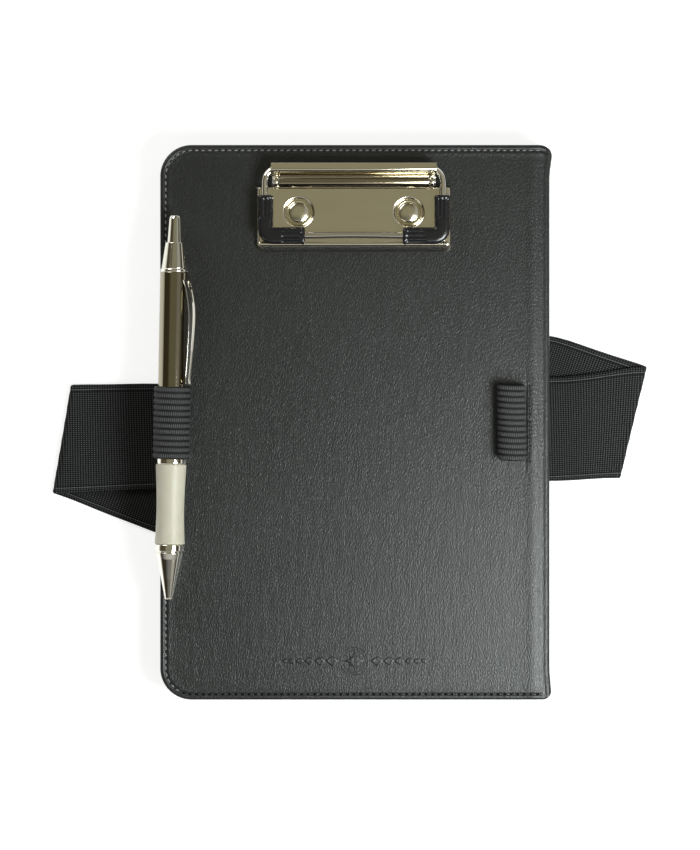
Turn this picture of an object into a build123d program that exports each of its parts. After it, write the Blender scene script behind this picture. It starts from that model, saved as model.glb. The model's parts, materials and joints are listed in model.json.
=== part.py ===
from build123d import *
import math
import os

# A pilot's kneeboard log folio, closed and lying on its folded leg strap.
# Millimetres, +Z up, +X towards the spine, +Y towards the clip. Pieces are drawn
# about the middle of the cover, and are moved at the end so that the strap's
# middle is at X = 0.

# Cover
cover_width = 150.0
cover_height = 212.0
fore_corner = 12.0
spine_corner = 1.5
leather = 0.9
board = 2.0
lining = 0.5
turned_edge = 1.2
inside_gap = 7.65
crease_gap = 2.5
board_fit = 0.02

# Leg strap: one elastic, folded back under itself at both ends
strap_width = 38.0
strap_thick = 1.4
fold_gap = 0.8
fold_left = (-110.6, -6.6)
fold_right = (104.6, -0.4)
tail_slope = -20.0
tail_length = 178.0
patch_length = 60.0
patch_thick = 1.0
under_cover = 0.15
keeper_width = 26.0
keeper_wall = 1.8
keeper_sheet = 0.6
keeper_fit = 0.1

# Contents
book_width = 128.0
book_height = 188.0
book_left = -67.0
card = 0.3
page_thick = 3.9
card_lift = 0.15
staple = 0.5
staple_length = 12.0
staple_spacing = 100.0
pocket_sheet = 0.5
pocket_slot = 0.6
pocket_edge = 2.0
book_pocket_size = (42.0, 196.0)
document_pocket_size = (118.0, 150.0)
card_pocket_size = (92.0, 62.0)
front_slot = 0.3

# Clip
clip_x = -1.0
plate_width = 74.7
plate_front = 65.0
plate_back = 89.8
plate_rise = 3.0
plate_sheet = 0.8
plate_corner = 3.0
shelf_back = 94.6
shelf_width = 61.0
rivet_spacing = 42.0
rivet_y = 80.0
rivet_head = 4.3
rivet_dome = 1.7
rivet_shank = 2.0
rivet_fit = 0.1
dimple_radius = 5.8
washer_radius = 4.5
pin_y = 91.8
pin_height = 5.6
pin_radius = 1.4
pin_fit = 0.06
knuckle_wall = 1.1
ear_thick = 1.5
ear_foot = 0.5
ear_fit = 0.4
lever_width = 63.0
lip_end = 99.0
spring_length = 18.0
spring_wire = 0.6
wire_radius = 1.25
wire_fit = 0.03
bail_end_y = 95.9
bail_front_y = 71.0
bail_width = 67.3
bail_corner = 4.0
wire_grip = 3.0
sleeve_width = 5.8
sleeve_depth = 4.4
sleeve_up = 17.5
sleeve_across = 14.0

# Loops
loop_length = 27.5
loop_fit = 0.3
loop_wall = 0.85
loop_y = 0.0
spare_x = 59.1
spare_length = 28.9
spare_bore = 4.6
spare_wall = 1.0
spare_tab = 66.5
loop_foot = 1.0

# Pen, drawn along +Y with its point towards -Y
pen_x = -70.2
pen_lean = 1.03
barrel_radius = 5.5
barrel_wall = 0.8
barrel_top = 57.0
barrel_bottom = -13.5
trim_shy = 0.25
trim_height = 1.4
cone_top = 68.3
cone_shy = 0.6
cone_wall = 0.7
button_radius = (2.9, 2.3)
button_top = 78.8
click_fit = 0.08
ring_bottom = -15.9
ring_proud = 0.3
grip_bottom = -46.3
grip_proud = (0.3, -0.25, 0.25)
core_fit = 0.1
core_wall = 0.8
tip_ring = 3.1
tip_shy = 0.2
tip_end = -67.3
tip_mouth = 1.4
refill_radius = 1.5
point_radius = 0.85
point_inset = 1.0
click_travel = 5.0
clip_arm_width = 3.2
clip_arm_thick = 0.8
clip_arm_top = 52.0
clip_arm_clear = 0.5
clip_arm_gap = 1.1
clip_bow = 0.9

half_w = cover_width / 2
half_h = cover_height / 2
cover_thick = leather + board + lining
strap_top = 2 * strap_thick + fold_gap
back_z = strap_top + under_cover
inside_z = back_z + cover_thick
front_z = inside_z + inside_gap
face_z = front_z + cover_thick
panel_right = half_w - crease_gap
pin_z = face_z + pin_height
ring_radius = barrel_radius + ring_proud
grip_radius = [barrel_radius + proud for proud in grip_proud]
core_radius = barrel_radius - barrel_wall - core_fit
tip_radius = barrel_radius - tip_shy
loop_bore = max(ring_radius, *grip_radius) + loop_fit
clip_arm_end = loop_y + loop_length / 2 + clip_arm_clear


def block(x, y, z):
    """A box between two limits on each axis."""
    size = [b - a for a, b in (x, y, z)]
    middle = [(a + b) / 2 for a, b in (x, y, z)]
    return Pos(*middle) * Box(*size)


def panel(inset, z_low, thick):
    """The plan of one cover, with its large corners on the fore edge."""
    left = -half_w + inset
    right = panel_right - inset
    top = half_h - inset
    plan = Pos((left + right) / 2, 0) * Rectangle(right - left, 2 * top)
    corners = plan.vertices()
    plan = fillet(corners.sort_by(Axis.X)[:2], fore_corner - inset)
    plan = fillet(plan.vertices().sort_by(Axis.X)[-2:], spine_corner)
    return Pos(0, 0, z_low) * extrude(plan, thick)


def cylinder_z(x, y, radius, z_low, z_high):
    return Pos(x, y, (z_low + z_high) / 2) * Cylinder(radius, z_high - z_low)


def rivet_points():
    return [(clip_x + side * rivet_spacing / 2, rivet_y) for side in (-1, 1)]


def rivet_holes(radius, z_low, z_high):
    return Part() + [cylinder_z(x, y, radius, z_low, z_high) for x, y in rivet_points()]


def back_cover():
    """Leather tray below, board in it, lining flush with the turned edge."""
    inner = turned_edge
    skin = panel(0, back_z, cover_thick) - panel(inner, back_z + leather, cover_thick)
    stiff = panel(inner + board_fit, back_z + leather, board)
    inside = panel(inner + board_fit, back_z + leather + board, lining)
    return {"back_leather": skin, "back_board": stiff, "back_lining": inside}


def front_cover():
    """The same build turned over, with the two rivet holes for the clip."""
    inner = turned_edge
    cut = panel(inner, front_z - leather, cover_thick)
    skin = panel(0, front_z, cover_thick) - cut
    stiff = panel(inner + board_fit, front_z + lining, board)
    inside = panel(inner + board_fit, front_z, lining)
    hole = rivet_shank + rivet_fit
    skin -= rivet_holes(hole, front_z, face_z)
    stiff -= rivet_holes(hole, front_z, face_z)
    inside -= rivet_holes(washer_radius + rivet_fit, front_z, front_z + lining)
    return {"front_leather": skin, "front_board": stiff, "front_lining": inside}


def spine():
    """The narrow upright panel between the two creases."""
    margin = 1.2
    low = back_z + margin
    high = face_z - margin
    outer = half_w
    skin = block((outer - leather, outer), (-half_h, half_h), (low, high))
    skin = fillet(skin.edges().filter_by(Axis.Y).group_by(Axis.X)[-1], 0.6)
    thick = 1.1
    stiff_x = outer - leather - thick
    stiff = block((stiff_x, outer - leather), (-half_h + 2, half_h - 2), (low + 2, high - 2))
    soft = block((stiff_x - 0.4, stiff_x), (-half_h + 2, half_h - 2), (low + 2, high - 2))
    return {"spine_leather": skin, "spine_board": stiff, "spine_lining": soft}


def pocket(width, height, slot, centre, z, side, mouth):
    """A sheet on three folded edges: side is +1 on the back cover, -1 on the front."""
    depth = slot + pocket_sheet
    z_range = sorted((z, z + side * depth))
    shell = Pos(centre[0], centre[1], sum(z_range) / 2) * Box(width, height, depth)
    shell = fillet(shell.edges().filter_by(Axis.Z), 3.0)
    reach = Vector(*mouth) * pocket_edge * 2
    room = Box(width - 2 * pocket_edge, height - 2 * pocket_edge, slot)
    stretch = Box(
        width - 2 * pocket_edge + abs(reach.X),
        height - 2 * pocket_edge + abs(reach.Y),
        slot,
    )
    room = room + Pos(reach.X / 2, reach.Y / 2) * stretch
    return shell - Pos(centre[0], centre[1], z + side * slot / 2) * room


def contents():
    """The stapled log book in its slot pocket, and the pockets inside the cover."""
    card_low = inside_z + card_lift
    left, right = book_left, book_left + book_width
    half = book_height / 2
    pages_low = inside_z + pocket_slot + pocket_sheet + 0.1
    pages_high = pages_low + page_thick
    outer = block((left, right), (-half, half), (card_low, pages_high + card))
    hollow = block((left - 1, right - card), (-half - 1, half + 1), (card_low + card, pages_high))
    pages = block((left + 1, right - card), (-half + 1.5, half - 1.5), (pages_low, pages_high))
    middle = (pages_low + pages_high) / 2
    staples = Part()
    for y in (-staple_spacing / 2, staple_spacing / 2):
        crown = block(
            (right, right + staple),
            (y - staple_length / 2, y + staple_length / 2),
            (middle - staple / 2, middle + staple / 2),
        )
        staples += crown
        for end in (-1, 1):
            leg_y = y + end * (staple_length - staple) / 2
            leg = block(
                (right - 6, right),
                (leg_y - staple / 2, leg_y + staple / 2),
                (middle - staple / 2, middle + staple / 2),
            )
            staples += leg
    slot_w, slot_h = book_pocket_size
    slot_x = -half_w + 4 + slot_w / 2
    doc_w, doc_h = document_pocket_size
    doc_y = -half_h + 4 + doc_h / 2
    card_w, card_h = card_pocket_size
    card_y = -half_h + 6 + card_h / 2
    doc_low = front_z - front_slot - pocket_sheet
    return {
        "log_book_cover": outer - hollow,
        "log_pages": pages,
        "log_staples": staples,
        "book_pocket": pocket(
            slot_w, slot_h, pocket_slot, (slot_x, 0), inside_z, 1, (1, 0)
        ),
        "document_pocket": pocket(
            doc_w, doc_h, front_slot, (-4, doc_y), front_z, -1, (0, 1)
        ),
        "card_pocket": pocket(card_w, card_h, front_slot, (-4, card_y), doc_low, -1, (0, 1)),
    }


def direction(degrees):
    return Vector(math.cos(math.radians(degrees)), math.sin(math.radians(degrees)))


def strap_lines():
    """Fold points, the slope of the band, the fold line and half its length."""
    left, right = Vector(*fold_left), Vector(*fold_right)
    along = (right - left).normalized()
    tail = direction(tail_slope)
    fold = (along - tail).normalized()
    across = Vector(-along.Y, along.X)
    half = strap_width / 2 / abs(fold.dot(across))
    return left, right, along, tail, fold, half


def prism(points, z_low, thick):
    face = make_face(Polyline(*[(p.X, p.Y) for p in points], close=True))
    solid = extrude(face, thick, dir=(0, 0, 1))
    return Pos(0, 0, z_low) * solid


def leg_strap():
    """Upper band, two flat folds and two tails, all one elastic."""
    left, right, along, tail, fold, half = strap_lines()
    edge = fold * half
    band = prism(
        [left - edge, right - edge, right + edge, left + edge],
        strap_thick + fold_gap,
        strap_thick,
    )
    strap = band
    for point, way in ((left, 1), (right, -1)):
        heading = tail * way
        side = Vector(-heading.Y, heading.X) * (strap_width / 2)
        end = point + heading * tail_length
        low, high = (point - edge, point + edge) if way > 0 else (point + edge, point - edge)
        strap += prism([low, end - side, end + side, high], 0, strap_thick)
        outer = Plane(
            origin=(point.X, point.Y, strap_top / 2),
            x_dir=(way * -fold.Y, way * fold.X, 0),
            z_dir=(fold.X, fold.Y, 0),
        )
        ring = Circle(strap_top / 2) - Circle(fold_gap / 2)
        ring &= Pos(strap_top / 2, 0) * Rectangle(strap_top, 2 * strap_top)
        strap += extrude(outer * ring, half, both=True)
    return strap


def hook_patch():
    """Hook tape on the end of the left tail. The strap's outer face is the loop side."""
    left, right, along, tail, fold, half = strap_lines()
    inset = 2.0
    centre = left + tail * (tail_length - inset - patch_length / 2)
    tape = Box(patch_length, strap_width - 2 * inset, patch_thick)
    tape = fillet(tape.edges().filter_by(Axis.Z), 2.0)
    return Pos(centre.X, centre.Y, strap_thick + patch_thick / 2) * Rot(0, 0, tail_slope) * tape


def strap_keeper():
    """Leather bridge under the band, sewn to the back cover on both sides of it."""
    left, right, along, tail, fold, half = strap_lines()
    slope = math.degrees(math.atan2(along.Y, along.X))
    middle = left + (right - left) * 0.5
    low = strap_thick + fold_gap - keeper_fit - keeper_sheet
    tall = back_z - low
    slot = back_z - low - keeper_sheet
    bridge = Box(keeper_width, strap_width + 2 * keeper_wall, tall)
    bridge = fillet(bridge.edges().filter_by(Axis.Z), 2.0)
    bridge = Pos(0, 0, low + tall / 2) * bridge
    room = Box(keeper_width + 2, strap_width + 2 * keeper_fit, slot)
    bridge -= Pos(0, 0, back_z - slot / 2) * room
    return Pos(middle.X, middle.Y) * Rot(0, 0, slope) * bridge


def clip_plate():
    """Pressed pan with turned-down edges, two rivet cups and two pin ears."""
    left, right = clip_x - plate_width / 2, clip_x + plate_width / 2
    pan = block((left, right), (plate_front, plate_back), (face_z, face_z + plate_rise))
    pan = fillet(pan.edges().filter_by(Axis.Z).group_by(Axis.Y)[0], plate_corner)
    pan = fillet(pan.faces().sort_by(Axis.Z)[-1].edges(), 1.2)
    inner = block(
        (left + plate_sheet, right - plate_sheet),
        (plate_front + plate_sheet, plate_back - plate_sheet),
        (face_z, face_z + plate_rise - plate_sheet),
    )
    inner = fillet(inner.edges().filter_by(Axis.Z), plate_corner - plate_sheet)
    plate = pan - inner
    for x, y in rivet_points():
        plate += cylinder_z(x, y, dimple_radius + plate_sheet, face_z, face_z + plate_rise)
        plate -= cylinder_z(x, y, dimple_radius, face_z + plate_sheet, face_z + plate_rise)
        plate -= cylinder_z(x, y, rivet_shank + rivet_fit, face_z, face_z + plate_sheet)
    half_shelf = shelf_width / 2
    plate += block(
        (clip_x - half_shelf, clip_x + half_shelf),
        (plate_back - plate_sheet, shelf_back),
        (face_z, face_z + plate_sheet),
    )
    radius = pin_radius + knuckle_wall
    for side in (-1, 1):
        x = clip_x + side * (half_shelf - ear_thick / 2)
        ear = Pos(x, pin_y, pin_z) * Rot(0, 90, 0) * Cylinder(radius, ear_thick)
        ear += block(
            (x - ear_thick / 2, x + ear_thick / 2),
            (pin_y - radius, pin_y + ear_foot),
            (face_z, pin_z),
        )
        plate += ear
    bore = Pos(clip_x, pin_y, pin_z) * Rot(0, 90, 0) * Cylinder(pin_radius + pin_fit, plate_width)
    return plate - bore


def clip_rivets():
    """Domed tubular rivets through the plate, leather and board."""
    floor = face_z + plate_sheet
    both = []
    sphere = (rivet_head**2 + rivet_dome**2) / (2 * rivet_dome)
    for x, y in rivet_points():
        dome = Pos(x, y, floor + rivet_dome - sphere) * Sphere(sphere)
        dome &= cylinder_z(x, y, rivet_head, floor, floor + rivet_dome + 1)
        shank = cylinder_z(x, y, rivet_shank, front_z, floor)
        both.append(dome + shank)
    return Compound(both)


def rivet_washers():
    ring = []
    for x, y in rivet_points():
        disc = cylinder_z(x, y, washer_radius, front_z, front_z + lining)
        ring.append(disc - cylinder_z(x, y, rivet_shank, front_z, front_z + lining))
    return Compound(ring)


def clip_pin():
    """Axle with a small upset head outside each ear."""
    reach = shelf_width / 2
    pin = Cylinder(pin_radius, 2 * reach)
    for side in (-1, 1):
        pin += Pos(0, 0, side * (reach + 0.35)) * Cylinder(pin_radius + 0.5, 0.5)
        pin += Pos(0, 0, side * (reach + 0.05)) * Cylinder(pin_radius, 0.1)
    return Pos(clip_x, pin_y, pin_z) * Rot(0, 90, 0) * pin


def clip_lever():
    """Press lever: two knuckles on the pin, a hollow-backed bar and a thumb lip."""
    half = lever_width / 2
    bar_y = pin_y + pin_radius + knuckle_wall
    points = [
        (bar_y - 1.0, pin_z - 1.9),
        (bail_end_y + 1.9, pin_z - 1.9),
        (bail_end_y + 1.9, pin_z + 0.6),
        (lip_end, pin_z + 2.6),
        (lip_end - 0.5, pin_z + 3.4),
        (bail_end_y + 0.6, pin_z + 2.2),
        (bar_y + 0.4, pin_z + 1.9),
        (bar_y - 1.0, pin_z + 1.2),
    ]
    outline = make_face(Polyline(*points, close=True))
    outline = fillet(outline.vertices(), 0.35)
    side = Plane(origin=(clip_x - half, 0, 0), x_dir=(0, 1, 0), z_dir=(1, 0, 0))
    lever = extrude(side * outline, lever_width)
    outer = pin_radius + knuckle_wall
    knuckle_end = shelf_width / 2 - ear_thick - ear_fit
    axle = Pos(clip_x, pin_y, pin_z) * Rot(0, 90, 0)
    lever -= axle * Cylinder(outer + ear_fit, lever_width + 2)
    knuckle = Cylinder(outer, 2 * knuckle_end) - Cylinder(outer + 1, spring_length + 1)
    web = block(
        (clip_x - knuckle_end, clip_x + knuckle_end),
        (pin_y + outer / 2, bar_y + 0.6),
        (pin_z - 1.5, pin_z + 1.2),
    )
    web -= block(
        (clip_x - spring_length / 2 - 0.5, clip_x + spring_length / 2 + 0.5),
        (pin_y, bar_y + 0.4),
        (pin_z - 3, pin_z + 3),
    )
    lever = lever + axle * knuckle + web
    lever -= axle * Cylinder(pin_radius + pin_fit, lever_width + 2)
    hole = Pos(clip_x, bail_end_y, pin_z) * Rot(0, 90, 0)
    lever -= hole * Cylinder(wire_radius + wire_fit, lever_width + 2) - hole * Cylinder(
        4, lever_width - 2 * wire_grip
    )
    return lever


def torsion_spring():
    """The closed coil round the pin, with a leg on the shelf and one under the lever."""
    inner = pin_radius + 0.15
    coil = Cylinder(inner + spring_wire, spring_length) - Cylinder(inner, spring_length + 1)
    return Pos(clip_x, pin_y, pin_z) * Rot(0, 90, 0) * coil


def bail_ends():
    return clip_x - bail_width / 2, clip_x + bail_width / 2


def wire_bail():
    """Spring wire from one side of the lever, round the front and back to the other."""
    left, right = bail_ends()
    inner = clip_x + lever_width / 2 - wire_grip + 0.3
    inner_left = clip_x - lever_width / 2 + wire_grip - 0.3
    points = [
        (inner_left, bail_end_y, pin_z),
        (left, bail_end_y, pin_z),
        (left, bail_front_y, pin_z),
        (right, bail_front_y, pin_z),
        (right, bail_end_y, pin_z),
        (inner, bail_end_y, pin_z),
    ]
    path = FilletPolyline(*points, radius=[1.9, bail_corner, bail_corner, 1.9])
    start = Plane(origin=path @ 0, z_dir=path % 0)
    return sweep(start * Circle(wire_radius), path=path)


def sleeve(side):
    """Moulded corner grip on the wire."""
    x = clip_x + side * bail_width / 2
    path = FilletPolyline(
        (x, bail_front_y + sleeve_up, pin_z),
        (x, bail_front_y, pin_z),
        (x - side * sleeve_across, bail_front_y, pin_z),
        radius=bail_corner,
    )
    start = Plane(origin=path @ 0, x_dir=(1, 0, 0), z_dir=path % 0)
    shape = RectangleRounded(sleeve_width, sleeve_depth, 1.6)
    body = sweep(start * shape, path=path)
    return body - sweep(start * Circle(wire_radius + wire_fit), path=path)


def pen_place(shape):
    axis_z = face_z + loop_foot / 4 + loop_bore + loop_wall
    return Pos(pen_x, 0, axis_z) * Rot(0, 0, -pen_lean) * shape


def turned(points):
    """A round piece on the pen's axis, from (radius, y) points."""
    face = make_face(Polyline(*points, close=True))
    return revolve(face, Axis.Y)


def tube(outer, inner, low, high):
    return turned([(inner, low), (outer, low), (outer, high), (inner, high)])


def rod(radius, low, high):
    return turned([(0, low), (radius, low), (radius, high), (0, high)])


def pen():
    """Retractable ballpoint: fixed shell pieces first, then the clicking ones."""
    bore = barrel_radius - barrel_wall
    cone_low = barrel_top + trim_height
    hole = button_radius[0] + click_fit
    collar = bore - 0.05
    mouth = point_radius + click_fit
    grip_high = ring_bottom
    waist = (grip_high + grip_bottom) / 2 - 2.5
    tip_base = grip_bottom - tip_ring
    channel = refill_radius + 0.9
    seat = tip_end + 8.0
    refill_low = seat + click_travel + 0.6
    refill_high = 38.0
    cam_high = cone_low - 8.0
    pieces = {}
    pieces["pen_cone"] = turned(
        [
            (hole, cone_low),
            (barrel_radius - cone_shy, cone_low),
            (button_radius[0] + cone_wall, cone_top),
            (hole, cone_top),
        ]
    )
    pieces["pen_trim_ring"] = tube(barrel_radius - trim_shy, hole, barrel_top, cone_low)
    barrel = tube(barrel_radius, bore, barrel_bottom, barrel_top)
    pieces["pen_barrel"] = fillet(barrel.edges().sort_by(Axis.Y)[-2:], 0.3)
    pieces["pen_lower_ring"] = tube(ring_radius, core_radius, ring_bottom, barrel_bottom)
    pieces["pen_grip_core"] = tube(
        core_radius, core_radius - core_wall, grip_bottom, barrel_bottom + 6
    )
    grip_line = Spline((grip_radius[0], grip_high), (grip_radius[1], waist), (grip_radius[2], grip_bottom))
    grip_edge = Polyline(
        (grip_radius[2], grip_bottom),
        (core_radius, grip_bottom),
        (core_radius, grip_high),
        (grip_radius[0], grip_high),
    )
    pieces["pen_grip"] = revolve(make_face(grip_line + grip_edge), Axis.Y)
    pieces["pen_tip"] = turned(
        [
            (channel, grip_bottom),
            (tip_radius + 0.3, grip_bottom),
            (tip_radius + 0.3, tip_base),
            (tip_radius, tip_base),
            (tip_mouth, tip_end),
            (mouth, tip_end),
            (mouth, tip_end + 4.0),
            (channel, seat),
        ]
    )
    pieces["pen_spring"] = tube(refill_radius + 0.7, refill_radius + 0.2, seat + 0.2, grip_bottom + 4)
    arm_x = barrel_radius + clip_arm_gap
    bow_y = (clip_arm_top + clip_arm_end) / 2 + 5
    outer = Spline(
        (arm_x + clip_arm_thick, clip_arm_end),
        (arm_x + clip_arm_thick - 0.3, clip_arm_end + 3),
        (arm_x + clip_arm_thick + clip_bow, bow_y),
        (arm_x + clip_arm_thick - 0.3, clip_arm_top),
    )
    inner = Spline(
        (arm_x, clip_arm_top - 8),
        (arm_x + clip_bow, bow_y),
        (arm_x - 0.3, clip_arm_end + 3),
        (arm_x, clip_arm_end),
    )
    root = Polyline(
        (arm_x + clip_arm_thick - 0.3, clip_arm_top),
        (barrel_radius - 0.3, clip_arm_top),
        (barrel_radius - 0.3, clip_arm_top - 8),
        (arm_x, clip_arm_top - 8),
    )
    foot = Line((arm_x, clip_arm_end), (arm_x + clip_arm_thick, clip_arm_end))
    arm = extrude(make_face(outer + root + inner + foot), clip_arm_width / 2, both=True)
    pieces["pen_clip"] = arm - rod(barrel_radius, barrel_bottom, barrel_top)
    pieces["pen_button"] = turned(
        [
            (0, cam_high),
            (button_radius[0], cam_high),
            (button_radius[0], cone_top),
            (button_radius[1], button_top - 1.0),
            (button_radius[1] - 0.8, button_top),
            (0, button_top),
        ]
    )
    pieces["pen_cam"] = tube(collar - 0.3, refill_radius, refill_high - 4, cam_high)
    pieces["pen_refill"] = rod(refill_radius, refill_low, refill_high)
    pieces["pen_point"] = turned(
        [
            (0, tip_end + point_inset),
            (0.35, tip_end + point_inset),
            (point_radius, tip_end + point_inset + 2.5),
            (point_radius, refill_low),
            (0, refill_low),
        ]
    )
    return {name: pen_place(piece) for name, piece in pieces.items()}


def pen_loop():
    """Ribbed elastic loop for the pen, its foot sewn to the fore edge."""
    outer = loop_bore + loop_wall
    axis_drop = loop_foot / 4 + outer
    ring = Rot(90, 0, 0) * Cylinder(outer, loop_length)
    foot = Pos(0, 0, -axis_drop + loop_foot / 2) * Box(outer * 1.2, loop_length, loop_foot)
    bore = Rot(90, 0, 0) * Cylinder(loop_bore, loop_length + 2)
    return pen_place(Pos(0, loop_y, 0) * (ring + foot - bore))


def spare_loop():
    """Second, empty loop with its tab running to the stitched slit by the spine."""
    outer = spare_bore + spare_wall
    axis_z = face_z + loop_foot / 4 + outer
    ring = Pos(spare_x, 0, axis_z) * Rot(90, 0, 0) * Cylinder(outer, spare_length)
    tab = block(
        (spare_x - 3, spare_tab),
        (-spare_length / 2, spare_length / 2),
        (face_z, face_z + loop_foot),
    )
    bore = Pos(spare_x, 0, axis_z) * Rot(90, 0, 0) * Cylinder(spare_bore, spare_length + 2)
    return ring + tab - bore


nodes = {
    **back_cover(),
    **front_cover(),
    **spine(),
    **contents(),
    "leg_strap": leg_strap(),
    "hook_patch": hook_patch(),
    "strap_keeper": strap_keeper(),
    "clip_plate": clip_plate(),
    "clip_rivets": clip_rivets(),
    "rivet_washers": rivet_washers(),
    "clip_pin": clip_pin(),
    "clip_lever": clip_lever(),
    "torsion_spring": torsion_spring(),
    "wire_bail": wire_bail(),
    "sleeve_left": sleeve(-1),
    "sleeve_right": sleeve(1),
    **pen(),
    "pen_loop": pen_loop(),
    "spare_loop": spare_loop(),
}

strap_box = nodes["leg_strap"].bounding_box()
middle_x = (strap_box.min.X + strap_box.max.X) / 2
os.makedirs("parts", exist_ok=True)
for name, shape in nodes.items():
    export_step(Pos(-middle_x, 0, 0) * shape, f"parts/{name}.step")
print("cover middle at X", round(-middle_x, 3), "face", face_z, "pin", pin_z)
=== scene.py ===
import json
import math
import random

import bpy
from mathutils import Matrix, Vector


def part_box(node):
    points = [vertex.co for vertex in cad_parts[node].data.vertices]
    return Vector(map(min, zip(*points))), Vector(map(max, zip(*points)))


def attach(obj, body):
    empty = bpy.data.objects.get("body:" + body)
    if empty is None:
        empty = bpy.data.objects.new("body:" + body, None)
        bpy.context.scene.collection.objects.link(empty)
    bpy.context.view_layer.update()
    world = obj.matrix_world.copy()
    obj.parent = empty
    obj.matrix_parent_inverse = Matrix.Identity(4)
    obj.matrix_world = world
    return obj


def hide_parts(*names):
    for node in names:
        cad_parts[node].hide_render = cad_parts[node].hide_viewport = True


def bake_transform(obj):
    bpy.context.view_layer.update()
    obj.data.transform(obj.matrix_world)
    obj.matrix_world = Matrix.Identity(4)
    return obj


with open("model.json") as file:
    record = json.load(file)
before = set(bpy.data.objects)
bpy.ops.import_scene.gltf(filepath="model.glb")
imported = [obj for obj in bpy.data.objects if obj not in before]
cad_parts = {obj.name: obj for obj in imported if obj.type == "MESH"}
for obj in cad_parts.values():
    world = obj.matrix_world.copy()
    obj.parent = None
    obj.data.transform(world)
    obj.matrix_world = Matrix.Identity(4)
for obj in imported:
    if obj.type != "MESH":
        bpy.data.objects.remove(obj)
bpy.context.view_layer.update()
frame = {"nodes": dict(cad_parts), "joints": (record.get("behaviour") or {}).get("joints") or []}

# Front cover skin: black leatherette glued over a board, its edge turned under and
# sewn down. At the spine it runs on over the crease and halfway down the back edge.

MM = 0.001
front_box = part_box("front_leather")
back_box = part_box("back_leather")
spine_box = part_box("spine_leather")
cover_x = (front_box[0][0] + spine_box[1][0]) / 2 / MM
half_w = (spine_box[1][0] - front_box[0][0]) / 2 / MM
half_h = front_box[1][1] / MM
face_z = front_box[1][2] / MM
panel_thick = (front_box[1][2] - front_box[0][2]) / MM
middle_z = (face_z + back_box[0][2] / MM) / 2
leather_thick = 0.9
lining_thick = 0.5
fore_corner = 12.0
head_corner = 5.0
tail_corner = 3.5
turned_edge = 1.2
board_end = front_box[1][0] / MM - cover_x - turned_edge
seam_inset = 2.1


class Link:
    """A shader socket that sums, products and comparisons can be written with."""

    def __init__(self, finish, socket):
        self.finish = finish
        self.socket = socket

    def maths(self, operation, *values):
        return self.finish.node("Math", {"operation": operation}, dict(enumerate(values)))

    def __add__(self, other):
        return self.maths("ADD", self, other)

    def __radd__(self, other):
        return self.maths("ADD", other, self)

    def __sub__(self, other):
        return self.maths("SUBTRACT", self, other)

    def __rsub__(self, other):
        return self.maths("SUBTRACT", other, self)

    def __mul__(self, other):
        return self.maths("MULTIPLY", self, other)

    def __rmul__(self, other):
        return self.maths("MULTIPLY", other, self)

    def __truediv__(self, other):
        return self.maths("DIVIDE", self, other)

    def __pow__(self, other):
        return self.maths("POWER", self, other)


class Finish:
    """A material under construction, with its shader's plain values set first."""

    def __init__(self, name, **surface):
        self.material = bpy.data.materials.new(name)
        self.material.use_nodes = True
        self.tree = self.material.node_tree
        self.tree.nodes.clear()
        self.shader = self.tree.nodes.new("ShaderNodeBsdfPrincipled")
        output = self.tree.nodes.new("ShaderNodeOutputMaterial")
        self.tree.links.new(self.shader.outputs[0], output.inputs[0])
        for words, value in surface.items():
            self.put(self.shader.inputs[words.replace("_", " ").title().replace("Ior", "IOR")], value)

    def put(self, socket, value):
        if isinstance(value, Link):
            self.tree.links.new(value.socket, socket)
        elif isinstance(value, tuple) and socket.type == "RGBA":
            socket.default_value = (*value[:3], 1)
        else:
            socket.default_value = value

    def node(self, kind, settings=None, inputs=None, out=0):
        made = self.tree.nodes.new("ShaderNode" + kind)
        for key, value in (settings or {}).items():
            if key == "stops":
                ramp = made.color_ramp.elements
                while len(ramp) < len(value):
                    ramp.new(0.5)
                for element, (position, shade) in zip(ramp, value):
                    element.position = position
                    element.color = (*shade, 1) if isinstance(shade, tuple) else (shade,) * 3 + (1,)
            else:
                setattr(made, key, value)
        for key, value in (inputs or {}).items():
            self.put(made.inputs[key], value)
        return Link(self, made.outputs[out])

    def place(self, scale=(1, 1, 1), source="Object"):
        """Where a point of the surface is, in millimetres, stretched by scale."""
        at = self.node("TexCoord", out=source)
        times = tuple(s / MM for s in scale) if source == "Object" else scale
        return self.node("Mapping", None, {"Vector": at, "Scale": times})

    def noise(self, where, scale, detail=2.0, roughness=0.5):
        return self.node(
            "TexNoise", None, {"Vector": where, "Scale": scale, "Detail": detail, "Roughness": roughness}
        )

    def mix(self, share, first, second):
        inputs = {0: share, 6: first, 7: second}
        return self.node("Mix", {"data_type": "RGBA"}, inputs, out=2)

    def bump(self, height, depth_mm, strength=1.0):
        inputs = {"Height": height, "Distance": depth_mm * MM, "Strength": strength}
        self.put(self.shader.inputs["Normal"], self.node("Bump", None, inputs))

    def set(self, **surface):
        for words, value in surface.items():
            self.put(self.shader.inputs[words.replace("_", " ").title()], value)


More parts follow.
